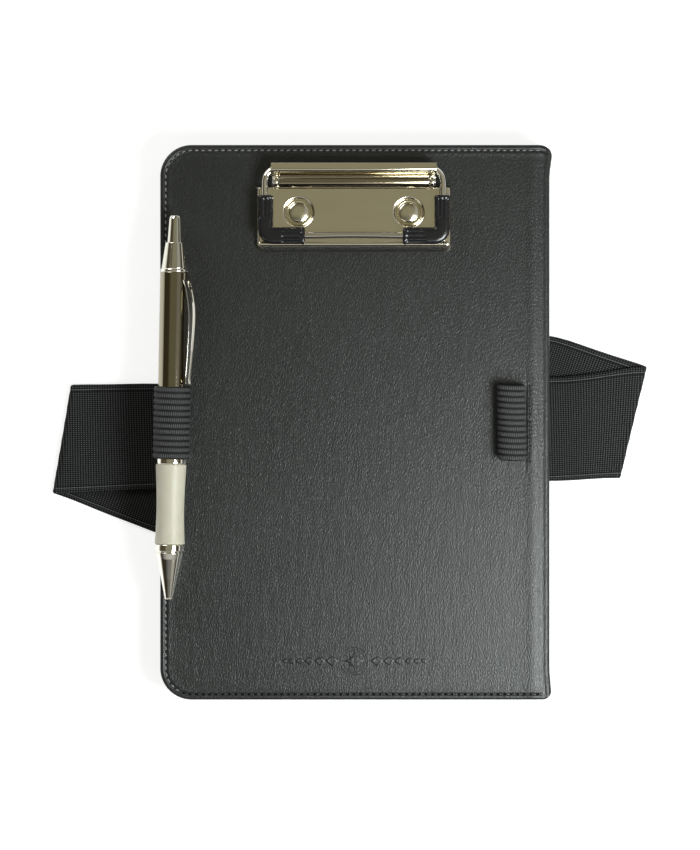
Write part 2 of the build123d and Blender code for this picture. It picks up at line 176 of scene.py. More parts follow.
def leatherette(name, dark, light, grain=1.0):
    """Pressed grain: small cells drawn out up the cover, and soft creases across them."""
    made = Finish(name, specular_ior_level=0.4)
    where = made.place((1, 0.55, 1))
    bend = made.noise(where, 0.6, 2.0)
    cells = made.node(
        "TexVoronoi",
        {"feature": "DISTANCE_TO_EDGE"},
        {"Vector": made.node("VectorMath", {"operation": "ADD"}, {0: where, 1: bend}), "Scale": 1.2},
    )
    pebble = made.node("ValToRGB", {"stops": [(0.0, 0.0), (0.25, 1.0)]}, {0: cells})
    fine = made.noise(made.place((1, 0.35, 1)), 2.0, 4.0, 0.6)
    broad = made.noise(made.place((1, 0.22, 1)), 0.34, 3.0, 0.55)
    patch = made.noise(made.place(), 0.035, 2.0)
    height = pebble * 0.42 + fine * 0.75 + broad * 1.1
    made.bump(height, 0.082 * grain)
    worn = made.node("ValToRGB", {"stops": [(0.3, 0.0), (0.75, 1.0)]}, {0: fine * 0.5 + patch * 0.5})
    made.set(base_color=made.mix(worn, dark, light))
    made.set(roughness=0.33 + fine * 0.12 - pebble * 0.04)
    return made.material


cover_leather = leatherette("cover_leatherette", (0.0085, 0.0093, 0.0095), (0.015, 0.0165, 0.0165))


def step(low, high, value):
    """0 below low, 1 above high, and a smooth rise between them."""
    t = min(1.0, max(0.0, (value - low) / (high - low)))
    return t * t * (3 - 2 * t)


def hump(centre, width, value):
    return math.exp(-(((value - centre) / width) ** 2))


def at_cover(x, y, z):
    """A point in the frame from millimetres about the cover's middle."""
    return Vector(((x + cover_x) * MM, y * MM, z * MM))


def add_piece(name, points, faces, material, body, smooth=True):
    """A mesh piece that rides on a body, where one is given."""
    mesh = bpy.data.meshes.new(name)
    mesh.from_pydata([tuple(p) for p in points], [], faces)
    mesh.validate()
    mesh.materials.append(material)
    for polygon in mesh.polygons:
        polygon.use_smooth = smooth
    piece = bpy.data.objects.new(name, mesh)
    bpy.context.collection.objects.link(piece)
    if body:
        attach(piece, body)
    return piece


def fore_line(y):
    """How far in the fore edge is at a height, from the two large corners."""
    over = max(0.0, abs(y) - (half_h - fore_corner))
    return -half_w + fore_corner - math.sqrt(max(0.0, fore_corner**2 - over**2))


def end_line(x, sign):
    """The head (+1) or tail (-1) limit, drawn in where it meets the spine."""
    corner = head_corner if sign > 0 else tail_corner
    over = min(corner, max(0.0, x - (half_w - corner)))
    return half_h - corner + math.sqrt(corner**2 - over**2)


def edge_distance(x, y):
    limit = end_line(x, 1 if y > 0 else -1)
    if x < fore_corner - half_w and abs(y) > half_h - fore_corner:
        across = fore_corner - half_w - x
        up = abs(y) - half_h + fore_corner
        return fore_corner - math.hypot(across, up)
    return min(x + half_w, limit - abs(y))


def border(distance):
    """The rounded edge, the soft border strip and the seam's sunk line."""
    radius = 0.7
    drop = 0.0
    if distance < radius:
        drop = radius - math.sqrt(max(0.0, radius**2 - (radius - distance) ** 2))
    swell = 0.10 * hump(1.2, 0.5, distance) + 0.10 * hump(3.3, 0.8, distance)
    return swell - drop - 0.34 * hump(seam_inset, 0.42, distance)


def spine_pull(x, y):
    """The spine edge is drawn in a little between its two ends."""
    flare = step(half_h - 13, half_h - 1, abs(y)) * (1.0 if y > 0 else 0.6)
    return -1.15 * (1 - flare) * step(half_w - 9, half_w - 2, x)


roll_start = half_w - 1.4
roll_radius = 1.4
roll_drop = 0.4


def skin_section():
    """Stations across the cover: a share of the panel's width, then fixed places."""
    edge = [0, 0.04, 0.12, 0.25, 0.42, 0.62, 0.85, 1.1, 1.24, 1.3, 1.5, 1.7, 1.9, 2.1, 2.3, 2.5]
    edge += [2.75, 3.0, 3.3, 3.7, 4.2, 5.0, 6.0, 7.4, 9.2, 11.5]
    stations = [("edge", offset) for offset in edge]
    stations += [("share", k / 34) for k in range(1, 34)]
    near = [63.0, 63.8, 64.4, 64.8, 65.1, 65.5, 66, 66.6, 67.2, 67.9, 68.7, 69.5, 70.2, 70.8]
    near += [board_end, board_end + 0.05, 71.9, 72.3, 72.45, 72.8, 73.15]
    stations += [("fixed", x) for x in near]
    stations += [("roll", k * 90 / 8) for k in range(9)]
    stations += [("drop", k / 6) for k in range(1, 7)]
    return stations


def skin_point(station, y_share, sign_flip):
    """Outer and inner points of the skin, about the cover's middle, z below the face."""
    kind, value = station
    y = y_share
    left = fore_line(y)
    if kind == "edge":
        x = left + value
    elif kind == "share":
        x = left + 11.5 + (63.0 - left - 11.5) * value
    elif kind == "fixed":
        x = value
    else:
        x = roll_start
    low = -roll_drop
    inner_x, z = x, 0.0
    if kind in ("edge", "share", "fixed"):
        ridge = 0.11 * hump(67.0, 2.0, x)
        sink = -(roll_drop + 0.1) * step(68.6, 72.5, x) + 0.12 * hump(roll_start, 0.5, x)
        lip = 0.14 * hump(65.45, 0.4, x) - 0.35 * hump(64.8, 0.22, x) + 0.12 * hump(67.6, 1.4, x)
        slit = lip * step(16.0, 13.8, abs(y))
        z = ridge + sink + (slit if sign_flip > 0 else 0)
        inner_z = z - leather_thick
    elif kind == "roll":
        turn = math.radians(value)
        x = roll_start + roll_radius * math.sin(turn)
        z = low - roll_radius + roll_radius * math.cos(turn)
        hollow = roll_radius - leather_thick
        inner_x = roll_start + hollow * math.sin(turn)
        inner_z = low - roll_radius + hollow * math.cos(turn)
    else:
        bottom = middle_z - face_z
        z = low - roll_radius + (bottom - low + roll_radius) * value
        x = half_w
        inner_x = x - leather_thick
        inner_z = z
    limit = end_line(x, 1 if y > 0 else -1)
    y_here = y * limit / half_h
    inset = edge_distance(x, y_here)
    if kind in ("edge", "share", "fixed"):
        at_tail = step(4.2 - half_h, 3.4 - half_h, y_here)
        z += border(inset) * (1 - 0.6 * step(70, 73, x)) + 0.2 * at_tail * hump(seam_inset, 0.42, inset)
        if x <= 72.35:
            rim = inset < turned_edge + 0.06 or x > board_end + 0.02
            inner_z = -panel_thick if rim else lining_thick - panel_thick
    pull = spine_pull(x, y_here)
    inner_y = y_here
    if inset < 0.5 and x <= 72.35:
        inner_y = y_here * (1 - 0.4 / half_h)
        inner_x = x + (0.4 if kind == "edge" and value < 0.5 else 0)
    return (x + pull, y_here, z), (inner_x + pull, inner_y, inner_z)


def cover_skin(name, side):
    """side is +1 for the front skin and -1 for the back one, its mirror image."""
    near = [0, 0.04, 0.12, 0.25, 0.42, 0.62, 0.85, 1.1, 1.24, 1.3]
    near += [1.5 + 0.22 * k for k in range(9)] + [3.6 + 0.42 * k for k in range(24)]
    rows = [-half_h + e for e in near] + [half_h - e for e in near]
    last = half_h - near[-1]
    count = 46
    rows += [-last + 2 * last * k / count for k in range(1, count)]
    rows.sort()
    stations = skin_section()
    wide = len(stations)
    outer, inner = [], []
    for y in rows:
        for station in stations:
            a, b = skin_point(station, y, side)
            outer.append(a)
            inner.append(b)
    tall = len(rows)
    loop = [(j, 0) for j in range(tall)] + [(tall - 1, i) for i in range(1, wide)]
    loop += [(j, wide - 1) for j in range(tall - 2, -1, -1)] + [(0, i) for i in range(wide - 2, 0, -1)]
    points = outer + inner
    shift = len(outer)
    faces = []
    for j in range(tall - 1):
        for i in range(wide - 1):
            a = j * wide + i
            faces.append((a, a + 1, a + wide + 1, a + wide))
            faces.append((a + shift, a + wide + shift, a + wide + 1 + shift, a + 1 + shift))
    rings = [[j * wide + i for j, i in loop]]
    for share, swell in ((0.22, 0.0), (0.6, 0.0), (0.86, -0.02)):
        ring = []
        for j, i in loop:
            a, b = outer[j * wide + i], inner[j * wide + i]
            level = a[2] + (b[2] - a[2]) * share
            ring.append(len(points))
            points.append((a[0] + (b[0] - a[0]) * max(0.0, share - 0.6) * 1.2, a[1], level))
        rings.append(ring)
    rings.append([j * wide + i + shift for j, i in loop])
    for upper, lower in zip(rings, rings[1:]):
        for k in range(len(loop)):
            n = (k + 1) % len(loop)
            faces.append((upper[k], upper[n], lower[n], lower[k]))
    placed = []
    for x, y, z in points:
        height = face_z + z if side > 0 else 2 * middle_z - face_z - z
        placed.append(at_cover(x, y, height))
    if side < 0:
        faces = [tuple(reversed(f)) for f in faces]
    skin = add_piece(name, placed, faces, cover_leather, None)
    crease_start = at_cover(69.5, 0, face_z)
    crease_end = at_cover(74.0, 0, face_z)
    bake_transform(skin)
    return skin


front_skin = cover_skin("front_cover_skin", 1)
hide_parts("front_leather")

# Back cover skin: the same piece turned over, plain, with no holes for a clip. The
# two skins meet halfway down the spine, and stand for its leather together.

back_skin = cover_skin("back_cover_skin", -1)
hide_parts("back_leather", "spine_leather")

# Edge seams: lockstitch in black thread round three sides of each cover, with a
# small near-black disc between stitches, painted shade for a needle hole. They stop just short of the spine.

seam_pitch = 2.5
stitch_length = 1.6
thread_radius = 0.3


def thread_finish(name, colour):
    made = Finish(name, roughness=0.5, sheen_weight=0.3)
    twist = made.noise(made.place((1, 1, 1)), 3.0, 2.0)
    made.set(base_color=made.mix(twist, tuple(c * 0.6 for c in colour), colour))
    made.bump(twist, 0.05)
    return made.material


# The black thread is given a grey colour: painted sheen for the light it catches. Its near-black copy below is
# painted shade, used on the tail seam and the spare loop's slit.
thread = thread_finish("black_thread", (0.20, 0.205, 0.205))
needle_hole_painted_shade = Finish("needle_hole_painted_shade", base_color=(0.002, 0.002, 0.002), roughness=0.9).material
thread_painted_shade = Finish(
    "black_thread_painted_shade", base_color=(0.003, 0.003, 0.003), roughness=0.85, specular_ior_level=0.08
).material


def seam_route():
    """Points round the cover at the seam's inset, from spine to spine."""
    end_x = half_w - 4.6
    radius = fore_corner - seam_inset
    centre_x, centre_y = fore_corner - half_w, half_h - fore_corner
    route = [(end_x, half_h - seam_inset), (centre_x, half_h - seam_inset)]
    for k in range(1, 16):
        turn = math.radians(90 + k * 6)
        route.append((centre_x + radius * math.cos(turn), centre_y + radius * math.sin(turn)))
    return route + [(x, -y) for x, y in reversed(route)]


def stations_along(route, pitch):
    """Even stations on a route as (x, y, direction)."""
    lengths = [math.dist(a, b) for a, b in zip(route, route[1:])]
    count = round(sum(lengths) / pitch)
    even = sum(lengths) / count
    found, run, travelled = [], 0, 0.0
    for k in range(count):
        target = (k + 0.5) * even
        while travelled + lengths[run] < target:
            travelled += lengths[run]
            run += 1
        (ax, ay), (bx, by) = route[run], route[run + 1]
        t = (target - travelled) / lengths[run]
        found.append((ax + (bx - ax) * t, ay + (by - ay) * t, math.atan2(by - ay, bx - ax)))
    return found


def add_stitch(points, faces, centre, along, up, length, radius):
    """One short arch of thread whose two ends dive into the material."""
    side = along.cross(up).normalized()
    rings, around = 7, 6
    start = len(points)
    for k in range(rings):
        t = k / (rings - 1) * 2 - 1
        rise = radius * (1.15 * (1 - t * t) - 0.75)
        thick = radius * (1 - 0.35 * t * t)
        middle = centre + along * (t * length / 2) + up * rise
        for m in range(around):
            turn = m * math.tau / around
            points.append(middle + side * (thick * math.cos(turn)) + up * (thick * math.sin(turn)))
    for k in range(rings - 1):
        for m in range(around):
            a = start + k * around + m
            b = start + k * around + (m + 1) % around
            faces.append((a, b, b + around, a + around))


def add_hole(points, faces, centre, along, up, radius, stretch=1.0):
    side = along.cross(up).normalized()
    start = len(points)
    for m in range(8):
        turn = m * math.tau / 8
        out = side * (radius * math.cos(turn)) + along * (radius * stretch * math.sin(turn))
        points.append(centre + out)
    faces.append(tuple(range(start, start + 8)))


def seam(name, spots, up, body, slot, length, radius, hole=0.42, pitch=None, yarn=thread):
    """Stitches, and near-black discs between them as painted shade for the needle holes, as two joined sets of
    faces.
    """
    points, faces = [], []
    for centre, along in spots:
        add_stitch(points, faces, centre, along, up, length * MM, radius * MM)
    threads = len(faces)
    gap = (pitch or seam_pitch) / 2
    # Each needle hole is a flat disc given the near-black finish: painted shade.
    for centre, along in spots:
        at = centre + along * (gap * MM) + up * (0.03 * MM)
        add_hole(points, faces, at, along, up, hole * MM, 1.3)
    piece = add_piece(name, points, faces, yarn, body)
    piece.data.materials.append(needle_hole_painted_shade)
    for polygon in piece.data.polygons[threads:]:
        polygon.material_index = 1
    return piece


seam_spots = stations_along(seam_route(), seam_pitch)
random.seed(4)
for name, body, side in (("front_edge_seam", "front_cover", 1), ("back_edge_seam", "back_cover", -1)):
    spots, tail_spots = [], []
    for x, y, turn in seam_spots:
        lean = turn + random.uniform(-0.09, 0.09) + 0.12
        level = 0.26 + 0.1 * step(70, 73, x)
        z = face_z - level if side > 0 else 2 * middle_z - face_z + level
        along = Vector((math.cos(lean), math.sin(lean), 0))
        (tail_spots if y < 3 - half_h else spots).append((at_cover(x, y, z), along))
    up = Vector((0, 0, side))
    seam(name, spots, up, body, "cover_leather", stitch_length, thread_radius)
    # The tail's stitches take the near-black copy of the thread: painted shade.
    tail = (stitch_length - 0.1, thread_radius + 0.14, 0.24, seam_pitch, thread_painted_shade)
    seam(name + "_tail", tail_spots, up, body, "cover_leather", *tail)

# Cover ornament: a plain compass star in a ring, between two rows of lozenges that
# shrink outwards, pressed into the leather near its tail with a heated die.

star_y = -91.2
ornament_x = -0.8
ring_radius = 5.2
pressed_leather = leatherette("pressed_leather", (0.002, 0.002, 0.002), (0.004, 0.004, 0.004), 0.3)


def spread(outline, distance):
    """Moves an outline's sides out by a distance, or in where it is negative."""
    moved = []
    for k, (x, y) in enumerate(outline):
        (ax, ay), (bx, by) = outline[k - 1], outline[(k + 1) % len(outline)]
        first = Vector((y - ay, ax - x)).normalized()
        second = Vector((by - y, x - bx)).normalized()
        out = (first + second).normalized()
        out *= distance / max(0.35, out.dot(first))
        moved.append((x + out.x, y + out.y))
    return moved


def pressed(name, outline, height, line=0.30):
    """A soft raised island, with the dark line that the die's edge leaves round it."""
    rings = [(line, 0.03), (0.0, 0.05), (-0.12, height), (-0.45, height * 0.6)]
    points, faces, size = [], [], len(outline)
    for away, level in rings:
        for x, y in spread(outline, away):
            points.append(at_cover(x, y, face_z + level))
    for ring in range(len(rings) - 1):
        for k in range(size):
            n = (k + 1) % size
            a, b = ring * size, (ring + 1) * size
            faces.append((a + k, a + n, b + n, b + k))
    faces.append(tuple(range((len(rings) - 1) * size, len(rings) * size)))
    piece = add_piece(name, points, faces, cover_leather, "front_cover")
    piece.data.materials.append(pressed_leather)
    for polygon in piece.data.polygons[:size]:
        polygon.material_index = 1
    return piece


star = []
for k in range(16):
    reach = (1.0, 0.36, 0.64, 0.36)[k % 4] * (ring_radius - 1.4)
    turn = math.radians(90 + k * 22.5)
    star.append((ornament_x + reach * math.cos(turn), star_y + reach * math.sin(turn)))
pressed("ornament_star", star, 0.2)
for name, radius in (("ornament_ring_outer", ring_radius), ("ornament_ring_inner", ring_radius - 0.9)):
    points, faces = [], []
    for k in range(48):
        turn = k * math.tau / 48
        for reach, level in ((radius - 0.2, 0.04), (radius, 0.08), (radius + 0.2, 0.04)):
            x, y = ornament_x + reach * math.cos(turn), star_y + reach * math.sin(turn)
            points.append(at_cover(x, y, face_z + level))
        n = (k + 1) % 48
        for m in (0, 1):
            faces.append((3 * k + m, 3 * k + m + 1, 3 * n + m + 1, 3 * n + m))
    add_piece(name, points, faces, pressed_leather, "front_cover")
for side in (-1, 1):
    at = ornament_x + side * 8.6
    for k in range(6):
        half = 2.3 - 0.24 * k
        high = 1.75 - 0.2 * k
        outline = [(at - half, star_y), (at, star_y - high), (at + half, star_y), (at, star_y + high)]
        pressed(f"ornament_lozenge_{'right' if side > 0 else 'left'}_{k}", outline, 0.18, 0.26)
        at += side * (2 * half - 0.05)

# Boards and linings: grey board inside each cover, and a thin black woven lining
# flush with the turned-in leather. The spine has a narrow strip of the same.


def board_finish():
    made = Finish("grey_board", roughness=0.85)
    fibre = made.noise(made.place((1, 1, 3)), 1.5, 4.0, 0.6)
    made.set(base_color=made.mix(fibre, (0.28, 0.24, 0.19), (0.42, 0.37, 0.30)))
    made.bump(fibre, 0.1)
    return made.material


def lining_finish():
    """Plain weave, a thread about every third of a millimetre."""
    made = Finish("woven_lining", roughness=0.8, sheen_weight=0.25)
    where = made.place()
    across = made.node("TexWave", {"bands_direction": "X"}, {"Vector": where, "Scale": 1.0, "Distortion": 0.4})
    along = made.node("TexWave", {"bands_direction": "Y"}, {"Vector": where, "Scale": 1.0, "Distortion": 0.4})
    weave = across.maths("MAXIMUM", across, along)
    slub = made.noise(where, 0.6, 3.0)
    made.set(base_color=made.mix(weave * 0.6 + slub * 0.4, (0.008, 0.008, 0.009), (0.030, 0.030, 0.033)))
    made.bump(weave + slub * 0.3, 0.06)
    return made.material


board_material = board_finish()
lining_material = lining_finish()


def finish_node(material, *names):
    """Gives kept CAD pieces their finish."""
    for name in names:
        for holder in frame["nodes"][name].material_slots:
            holder.material = material


finish_node(board_material, "back_board", "front_board")
finish_node(lining_material, "back_lining", "front_lining", "book_pocket", "document_pocket", "card_pocket")


def strip(name, stations, rows, thick, material, body):
    """A thin upright strip that follows the spine's pull along its length."""
    points, faces = [], []
    for y in rows:
        for x, z in stations:
            points.append(at_cover(x + spine_pull(half_w, y), y, z))
    wide = len(stations)
    for j in range(len(rows) - 1):
        for i in range(wide):
            n = (i + 1) % wide
            a, b = j * wide, (j + 1) * wide
            faces.append((a + i, b + i, b + n, a + n))
    faces.append(tuple(range(wide)))
    faces.append(tuple(reversed(range(len(points) - wide, len(points)))))
    return add_piece(name, points, faces, material, body, smooth=False)


board_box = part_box("spine_board")
strip_low, strip_high = board_box[0][2] / MM, board_box[1][2] / MM
outer_x = half_w - leather_thick - 0.02
strip_rows = [-half_h + 7 + k * (2 * half_h - 14) / 40 for k in range(41)]
corners = [(outer_x, strip_low), (outer_x, strip_high), (outer_x - 0.9, strip_high), (outer_x - 0.9, strip_low)]
spine_strip = strip("spine_lining_strip", corners, strip_rows, 0.9, lining_material, "spine")
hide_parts("spine_board", "spine_lining")

# Contents: a stapled log book in a card cover, its back slid into the slot pocket.


def card_finish():
    made = Finish("log_book_card", roughness=0.55)
    fibre = made.noise(made.place(), 1.2, 4.0)
    made.set(base_color=made.mix(fibre, (0.018, 0.028, 0.060), (0.030, 0.044, 0.085)))
    made.bump(fibre, 0.04)
    return made.material


def paper_finish():
    """The block's edges show its leaves as fine level lines."""
    made = Finish("log_book_paper", roughness=0.9)
    where = made.place((0.04, 0.04, 1))
    leaves = made.noise(where, 7.0, 3.0, 0.7)
    made.set(base_color=made.mix(leaves, (0.62, 0.60, 0.53), (0.86, 0.85, 0.80)))
    made.bump(leaves, 0.12)
    return made.material


def steel_finish(name, colour, roughness):
    made = Finish(name, metallic=1.0)
    drawn = made.noise(made.place((0.3, 3, 3)), 2.0, 2.0)
    made.set(base_color=made.mix(drawn, tuple(c * 0.9 for c in colour), colour))
    made.set(roughness=drawn * 0.1 + roughness)
    return made.material


staple_steel = steel_finish("drawn_steel", (0.56, 0.56, 0.55), 0.25)
finish_node(card_finish(), "log_book_cover")
finish_node(paper_finish(), "log_pages")
finish_node(staple_steel, "log_staples", "rivet_washers", "clip_pin", "pen_spring")

# Leg strap: one length of 38 mm ribbed black elastic. It crosses under the cover,
# turns back under itself at both ends and closes with hook tape on its left tail.

strap_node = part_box("leg_strap")
strap_top = strap_node[1][2] / MM
strap_thick = 1.4
strap_half = 19.0
fold_radius = (strap_top - strap_thick) / 2
band_level = strap_top - strap_thick / 2
fold_left = Vector((-110.6 + cover_x, -6.6))
fold_right = Vector((104.6 + cover_x, -0.4))
tail_heading = Vector((math.cos(math.radians(-20)), math.sin(math.radians(-20))))
tail_length = 178.0
band_along = (fold_right - fold_left).normalized()
band_across = Vector((-band_along.y, band_along.x))
band_length = (fold_right - fold_left).length
fold_line = (band_along - tail_heading).normalized()
fold_out = Vector((fold_line.y, -fold_line.x))


def strap_point(u, v, out):
    """u across and v along the flat strap, v = 0 at the left fold, out from its middle."""
    flat = fold_left + band_along * v + band_across * u
    if v < band_length / 2:
        centre, outward = fold_left, -fold_out
    else:
        centre, outward = fold_right, fold_out
    past = (flat - centre).dot(outward)
    level = fold_radius + out
    if past <= 0:
        return Vector((flat.x, flat.y, band_level + out))
    turn = past / fold_radius
    base = flat - outward * past
    middle = strap_top / 2
    if turn < math.pi:
        place = base + outward * (level * math.sin(turn))
        return Vector((place.x, place.y, middle + level * math.cos(turn)))
    place = base - outward * (past - math.pi * fold_radius)
    return Vector((place.x, place.y, middle - level))


# The webbing's slack clear of the cover, in millimetres at its upper and lower edges:
# (sideways at the fold, up at the fold, up at the cover in the band, and in the tail).
cover_reach = {-1: 35.0, 1: 27.0}
slack = {
    -1: ((-1.0, 1.9, 1.5, 0.0), (-1.9, -1.7, -1.0, -3.0)),
    1: ((2.7, 2.5, -0.2, 2.9), (-1.4, -2.1, -2.6, 0.0)),
}


def strap_slack(u, v):
    """How far the free webbing spreads and strays, so neither fold is quite square."""
    end = -1 if v < band_length / 2 else 1
    centre = fold_left if end < 0 else fold_right
    flat = fold_left + band_along * v + band_across * u
    past = (flat - centre).dot(fold_out * end)
    away = max(0.0, -past, past - math.pi * fold_radius)
    near = 1 - step(0, cover_reach[end], away)
    free = 1 - step(cover_reach[end], cover_reach[end] + 24, away)
    moved = Vector((0.0, 0.0))
    for side, (aside, up, band, tail) in zip((1, -1), slack[end]):
        share = 0.5 + side * u / strap_half / 2
        at_edge = tail if past > 0 else band
        moved += Vector((aside * near, up * near + at_edge * (1 - near) * free)) * share
    return moved


def elastic_finish(name, rib_mm, yarn_mm, dark, light, depth):
    """Ribs run across the webbing; fine yarns cross them. Uses the strap's own layout."""
    made = Finish(name, roughness=0.8, specular_ior_level=0.14)
    where = made.place((1, 1, 1), source="UV")
    part = made.node("SeparateXYZ", None, {"Vector": where})
    along = Link(made, part.socket.node.outputs[0])
    across = Link(made, part.socket.node.outputs[1])
    fuzz = made.noise(made.place(), 2.2, 3.0, 0.6)
    wobble = made.noise(made.place(), 0.25, 2.0)
    ribs = along.maths("SINE", (along + wobble * rib_mm * 0.15) * (math.tau / rib_mm)) * 0.5 + 0.5
    yarn = along.maths("SINE", (across + wobble * yarn_mm * 0.3) * (math.tau / yarn_mm)) * 0.5 + 0.5
    from_middle = along.maths("ABSOLUTE", across)
    bound = along.maths("COMPARE", from_middle, strap_half - 1.75, 0.16)
    sunk = along.maths("COMPARE", from_middle, strap_half - 2.2, 0.28)
    # Base colour: lighter at the crowns where ribs and yarns cross, a painted highlight, and darker along the sunk
    # line by each selvedge, a painted shade.
    crown_highlight = (ribs * yarn) ** 1.6
    lit = (crown_highlight * (fuzz + 0.35) + bound * 0.45) * (1 - sunk * 0.85)
    made.set(base_color=made.mix(lit, dark, light))
    made.bump(ribs * 0.4 + ribs * yarn * 0.5 + fuzz * 0.35 - sunk * 0.5, depth)
    return made.material


strap_elastic = elastic_finish("strap_webbing", 0.95, 0.72, (0.003, 0.0031, 0.0035), (0.10, 0.102, 0.105), 0.05)


def add_layout(piece, layout):
    """Stores each vertex's place on the flat webbing, in millimetres."""
    uv = piece.data.uv_layers.new(name="UVMap")
    for loop in piece.data.loops:
        uv.data[loop.index].uv = layout[loop.vertex_index]


def leg_strap():
    random.seed(11)
    edge = [-1, -0.985, -0.955, -0.9, -0.885, -0.8, -0.6, -0.3, 0, 0.3, 0.6, 0.8, 0.885, 0.9, 0.955, 0.985, 1]
    start = -tail_length - math.pi * fold_radius
    finish = band_length - start
    tilt = strap_half * abs(fold_line.dot(band_along) / fold_line.dot(band_across))
    fine = []
    for centre in (0.0, band_length):
        sign = -1 if centre == 0 else 1
        for k in range(61):
            fine.append(centre + sign * (-tilt - 1 + (2 * tilt + 2 + math.pi * fold_radius + 1) * k / 60))
    coarse = [start + (finish - start) * k / 110 for k in range(111)]
    rows = sorted(set(round(v, 3) for v in fine + coarse))
    points, faces, layout = [], [], []
    profile = []
    for share in edge:
        round_off = math.sqrt(max(0.0, 1 - max(0.0, (abs(share) - 0.955) / 0.045) ** 2))
        selvedge = -0.16 * hump(0.893, 0.012, abs(share))
        profile.append((share, strap_thick / 2 * (0.25 + 0.75 * round_off) + selvedge))
    ring = [(s, h) for s, h in profile] + [(s, -h) for s, h in reversed(profile)]
    for v in rows:
        waver = 0.16 * math.sin(v * 0.09) + 0.10 * math.sin(v * 0.23 + 1)
        for s, h in ring:
            u = s * strap_half + waver * s
            moved = strap_slack(u, v)
            p = strap_point(u, v, h) + Vector((moved.x, moved.y, 0))
            points.append(p * MM)
            layout.append((v, u))
    size = len(ring)
    for j in range(len(rows) - 1):
        for i in range(size):
            n = (i + 1) % size
            a, b = j * size, (j + 1) * size
            faces.append((a + i, b + i, b + n, a + n))
    faces.append(tuple(range(size)))
    faces.append(tuple(reversed(range(len(points) - size, len(points)))))
    strap = add_piece("leg_strap_webbing", points, faces, strap_elastic, "back_cover")
    add_layout(strap, layout)
    return strap, finish - start


strap, strap_length = leg_strap()
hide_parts("leg_strap")
strap_length * MM

# Hook tape and keeper: a patch of hook tape sewn to the inner face of the left tail,
# and a leather bridge on the back cover that the strap runs through.


def hook_finish():
    made = Finish("hook_tape", roughness=0.7)
    hooks = made.node("TexVoronoi", None, {"Vector": made.place(), "Scale": 1.6})
    made.set(base_color=made.mix(hooks, (0.03, 0.03, 0.032), (0.006, 0.006, 0.006)))
    made.bump(1 - hooks, 0.5)
    return made.material


finish_node(hook_finish(), "hook_patch")
finish_node(cover_leather, "strap_keeper")
keeper_low, keeper_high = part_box("strap_keeper")
keeper_slope = math.atan2(band_along.y, band_along.x)
keeper_middle = (Vector(keeper_low) + Vector(keeper_high)) / 2
keeper_along = Vector((math.cos(keeper_slope), math.sin(keeper_slope), 0))
keeper_up = Vector((-keeper_along.y, keeper_along.x, 0))
spots = []
for side in (-1, 1):
    for k in range(9):
        at = keeper_middle + keeper_along * ((k - 4) * 2.6 * MM) + keeper_up * (side * 20.0 * MM)
        spots.append((Vector((at.x, at.y, keeper_low[2] - 0.02 * MM)), keeper_along))
seam("keeper_seam", spots, Vector((0, 0, -1)), "back_cover", "cover_leather", 1.75, thread_radius)

# Clip plate: nickel-plated pressed steel. The pan's sides and front are rolled down
# to the leather, two cups take the rivets, and two ears at the back hold the pin.

plate_low, plate_high = (Vector(p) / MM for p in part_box("clip_plate"))
clip_x = (plate_low.x + plate_high.x) / 2 - cover_x
plate_half = (plate_high.x - plate_low.x) / 2
plate_front, shelf_back = plate_low.y, plate_high.y
pan_back = 89.8
pan_rise = 3.0
pan_corner = 3.0
steel_sheet = 0.8
shelf_half = 30.5
rivet_y = 80.0
rivet_x = 21.0
cup_floor = 4.2
cup_mouth = 6.0


def plated(name, colour, roughness, smear):
    """Bright plating over polished steel: faint wipe marks, almost no grain."""
    made = Finish(name, metallic=1.0)
    wipe = made.noise(made.place((0.25, 1, 1)), 0.12, 3.0, 0.6)
    fine = made.noise(made.place((0.1, 2, 1)), 1.6, 2.0)
    made.set(base_color=made.mix(wipe, tuple(c * 0.93 for c in colour), colour))
    made.set(roughness=wipe * smear + fine * smear * 0.5 + roughness)
    made.bump(fine, 0.0012)
    return made.material


nickel = plated("clip_nickel", (0.83, 0.78, 0.64), 0.10, 0.06)


def pan_half(y):
    """Half the pan's width, which draws in round its two front corners."""
    over = max(0.0, plate_front + pan_corner - y)
    return plate_half - pan_corner + math.sqrt(max(0.0, pan_corner**2 - over**2))


def pan_level(x, y):
    """Height of the pan's outer face above the leather; x is from the clip's middle."""
    front = max(0.0, 1 - (y - plate_front) / 2.75)
    side = max(0.0, 1 - (pan_half(y) - abs(x)) / 1.7)
    back = max(0.0, 1 - (pan_back - y) / 0.55)
    level = (pan_rise - 2.5 * max(0.0, front - 0.12 * (1 - front))) * math.sqrt(max(0.0, 1 - side**2.2))
    level *= step(-0.02, 0.06, y - plate_front)
    level -= (pan_rise - steel_sheet) * (1 - math.sqrt(max(0.0, 1 - back**2)))
    level += 0.27 * hump(plate_front + 3.1, 0.42, y) * (1 - side)
    for centre in (-rivet_x, rivet_x):
        away = math.hypot(x - centre, y - rivet_y)
        depth = pan_rise - steel_sheet - 0.4
        level -= depth * step(cup_mouth, cup_floor, away)
    return max(0.02, level)


def grid_piece(name, xs, ys, at, material, body):
    points = [at(x, y) for y in ys for x in xs]
    wide = len(xs)
    faces = []
    for j in range(len(ys) - 1):
        for i in range(wide - 1):
            a = j * wide + i
            faces.append((a, a + 1, a + wide + 1, a + wide))
    return add_piece(name, points, faces, material, body)


def thicken(piece, millimetres):
    wall = piece.modifiers.new("sheet", "SOLIDIFY")
    wall.thickness = millimetres * MM
    wall.offset = -1


def pan_point(share, y):
    x = share * pan_half(y)
    return at_cover(clip_x + x, y, face_z + pan_level(x, y))


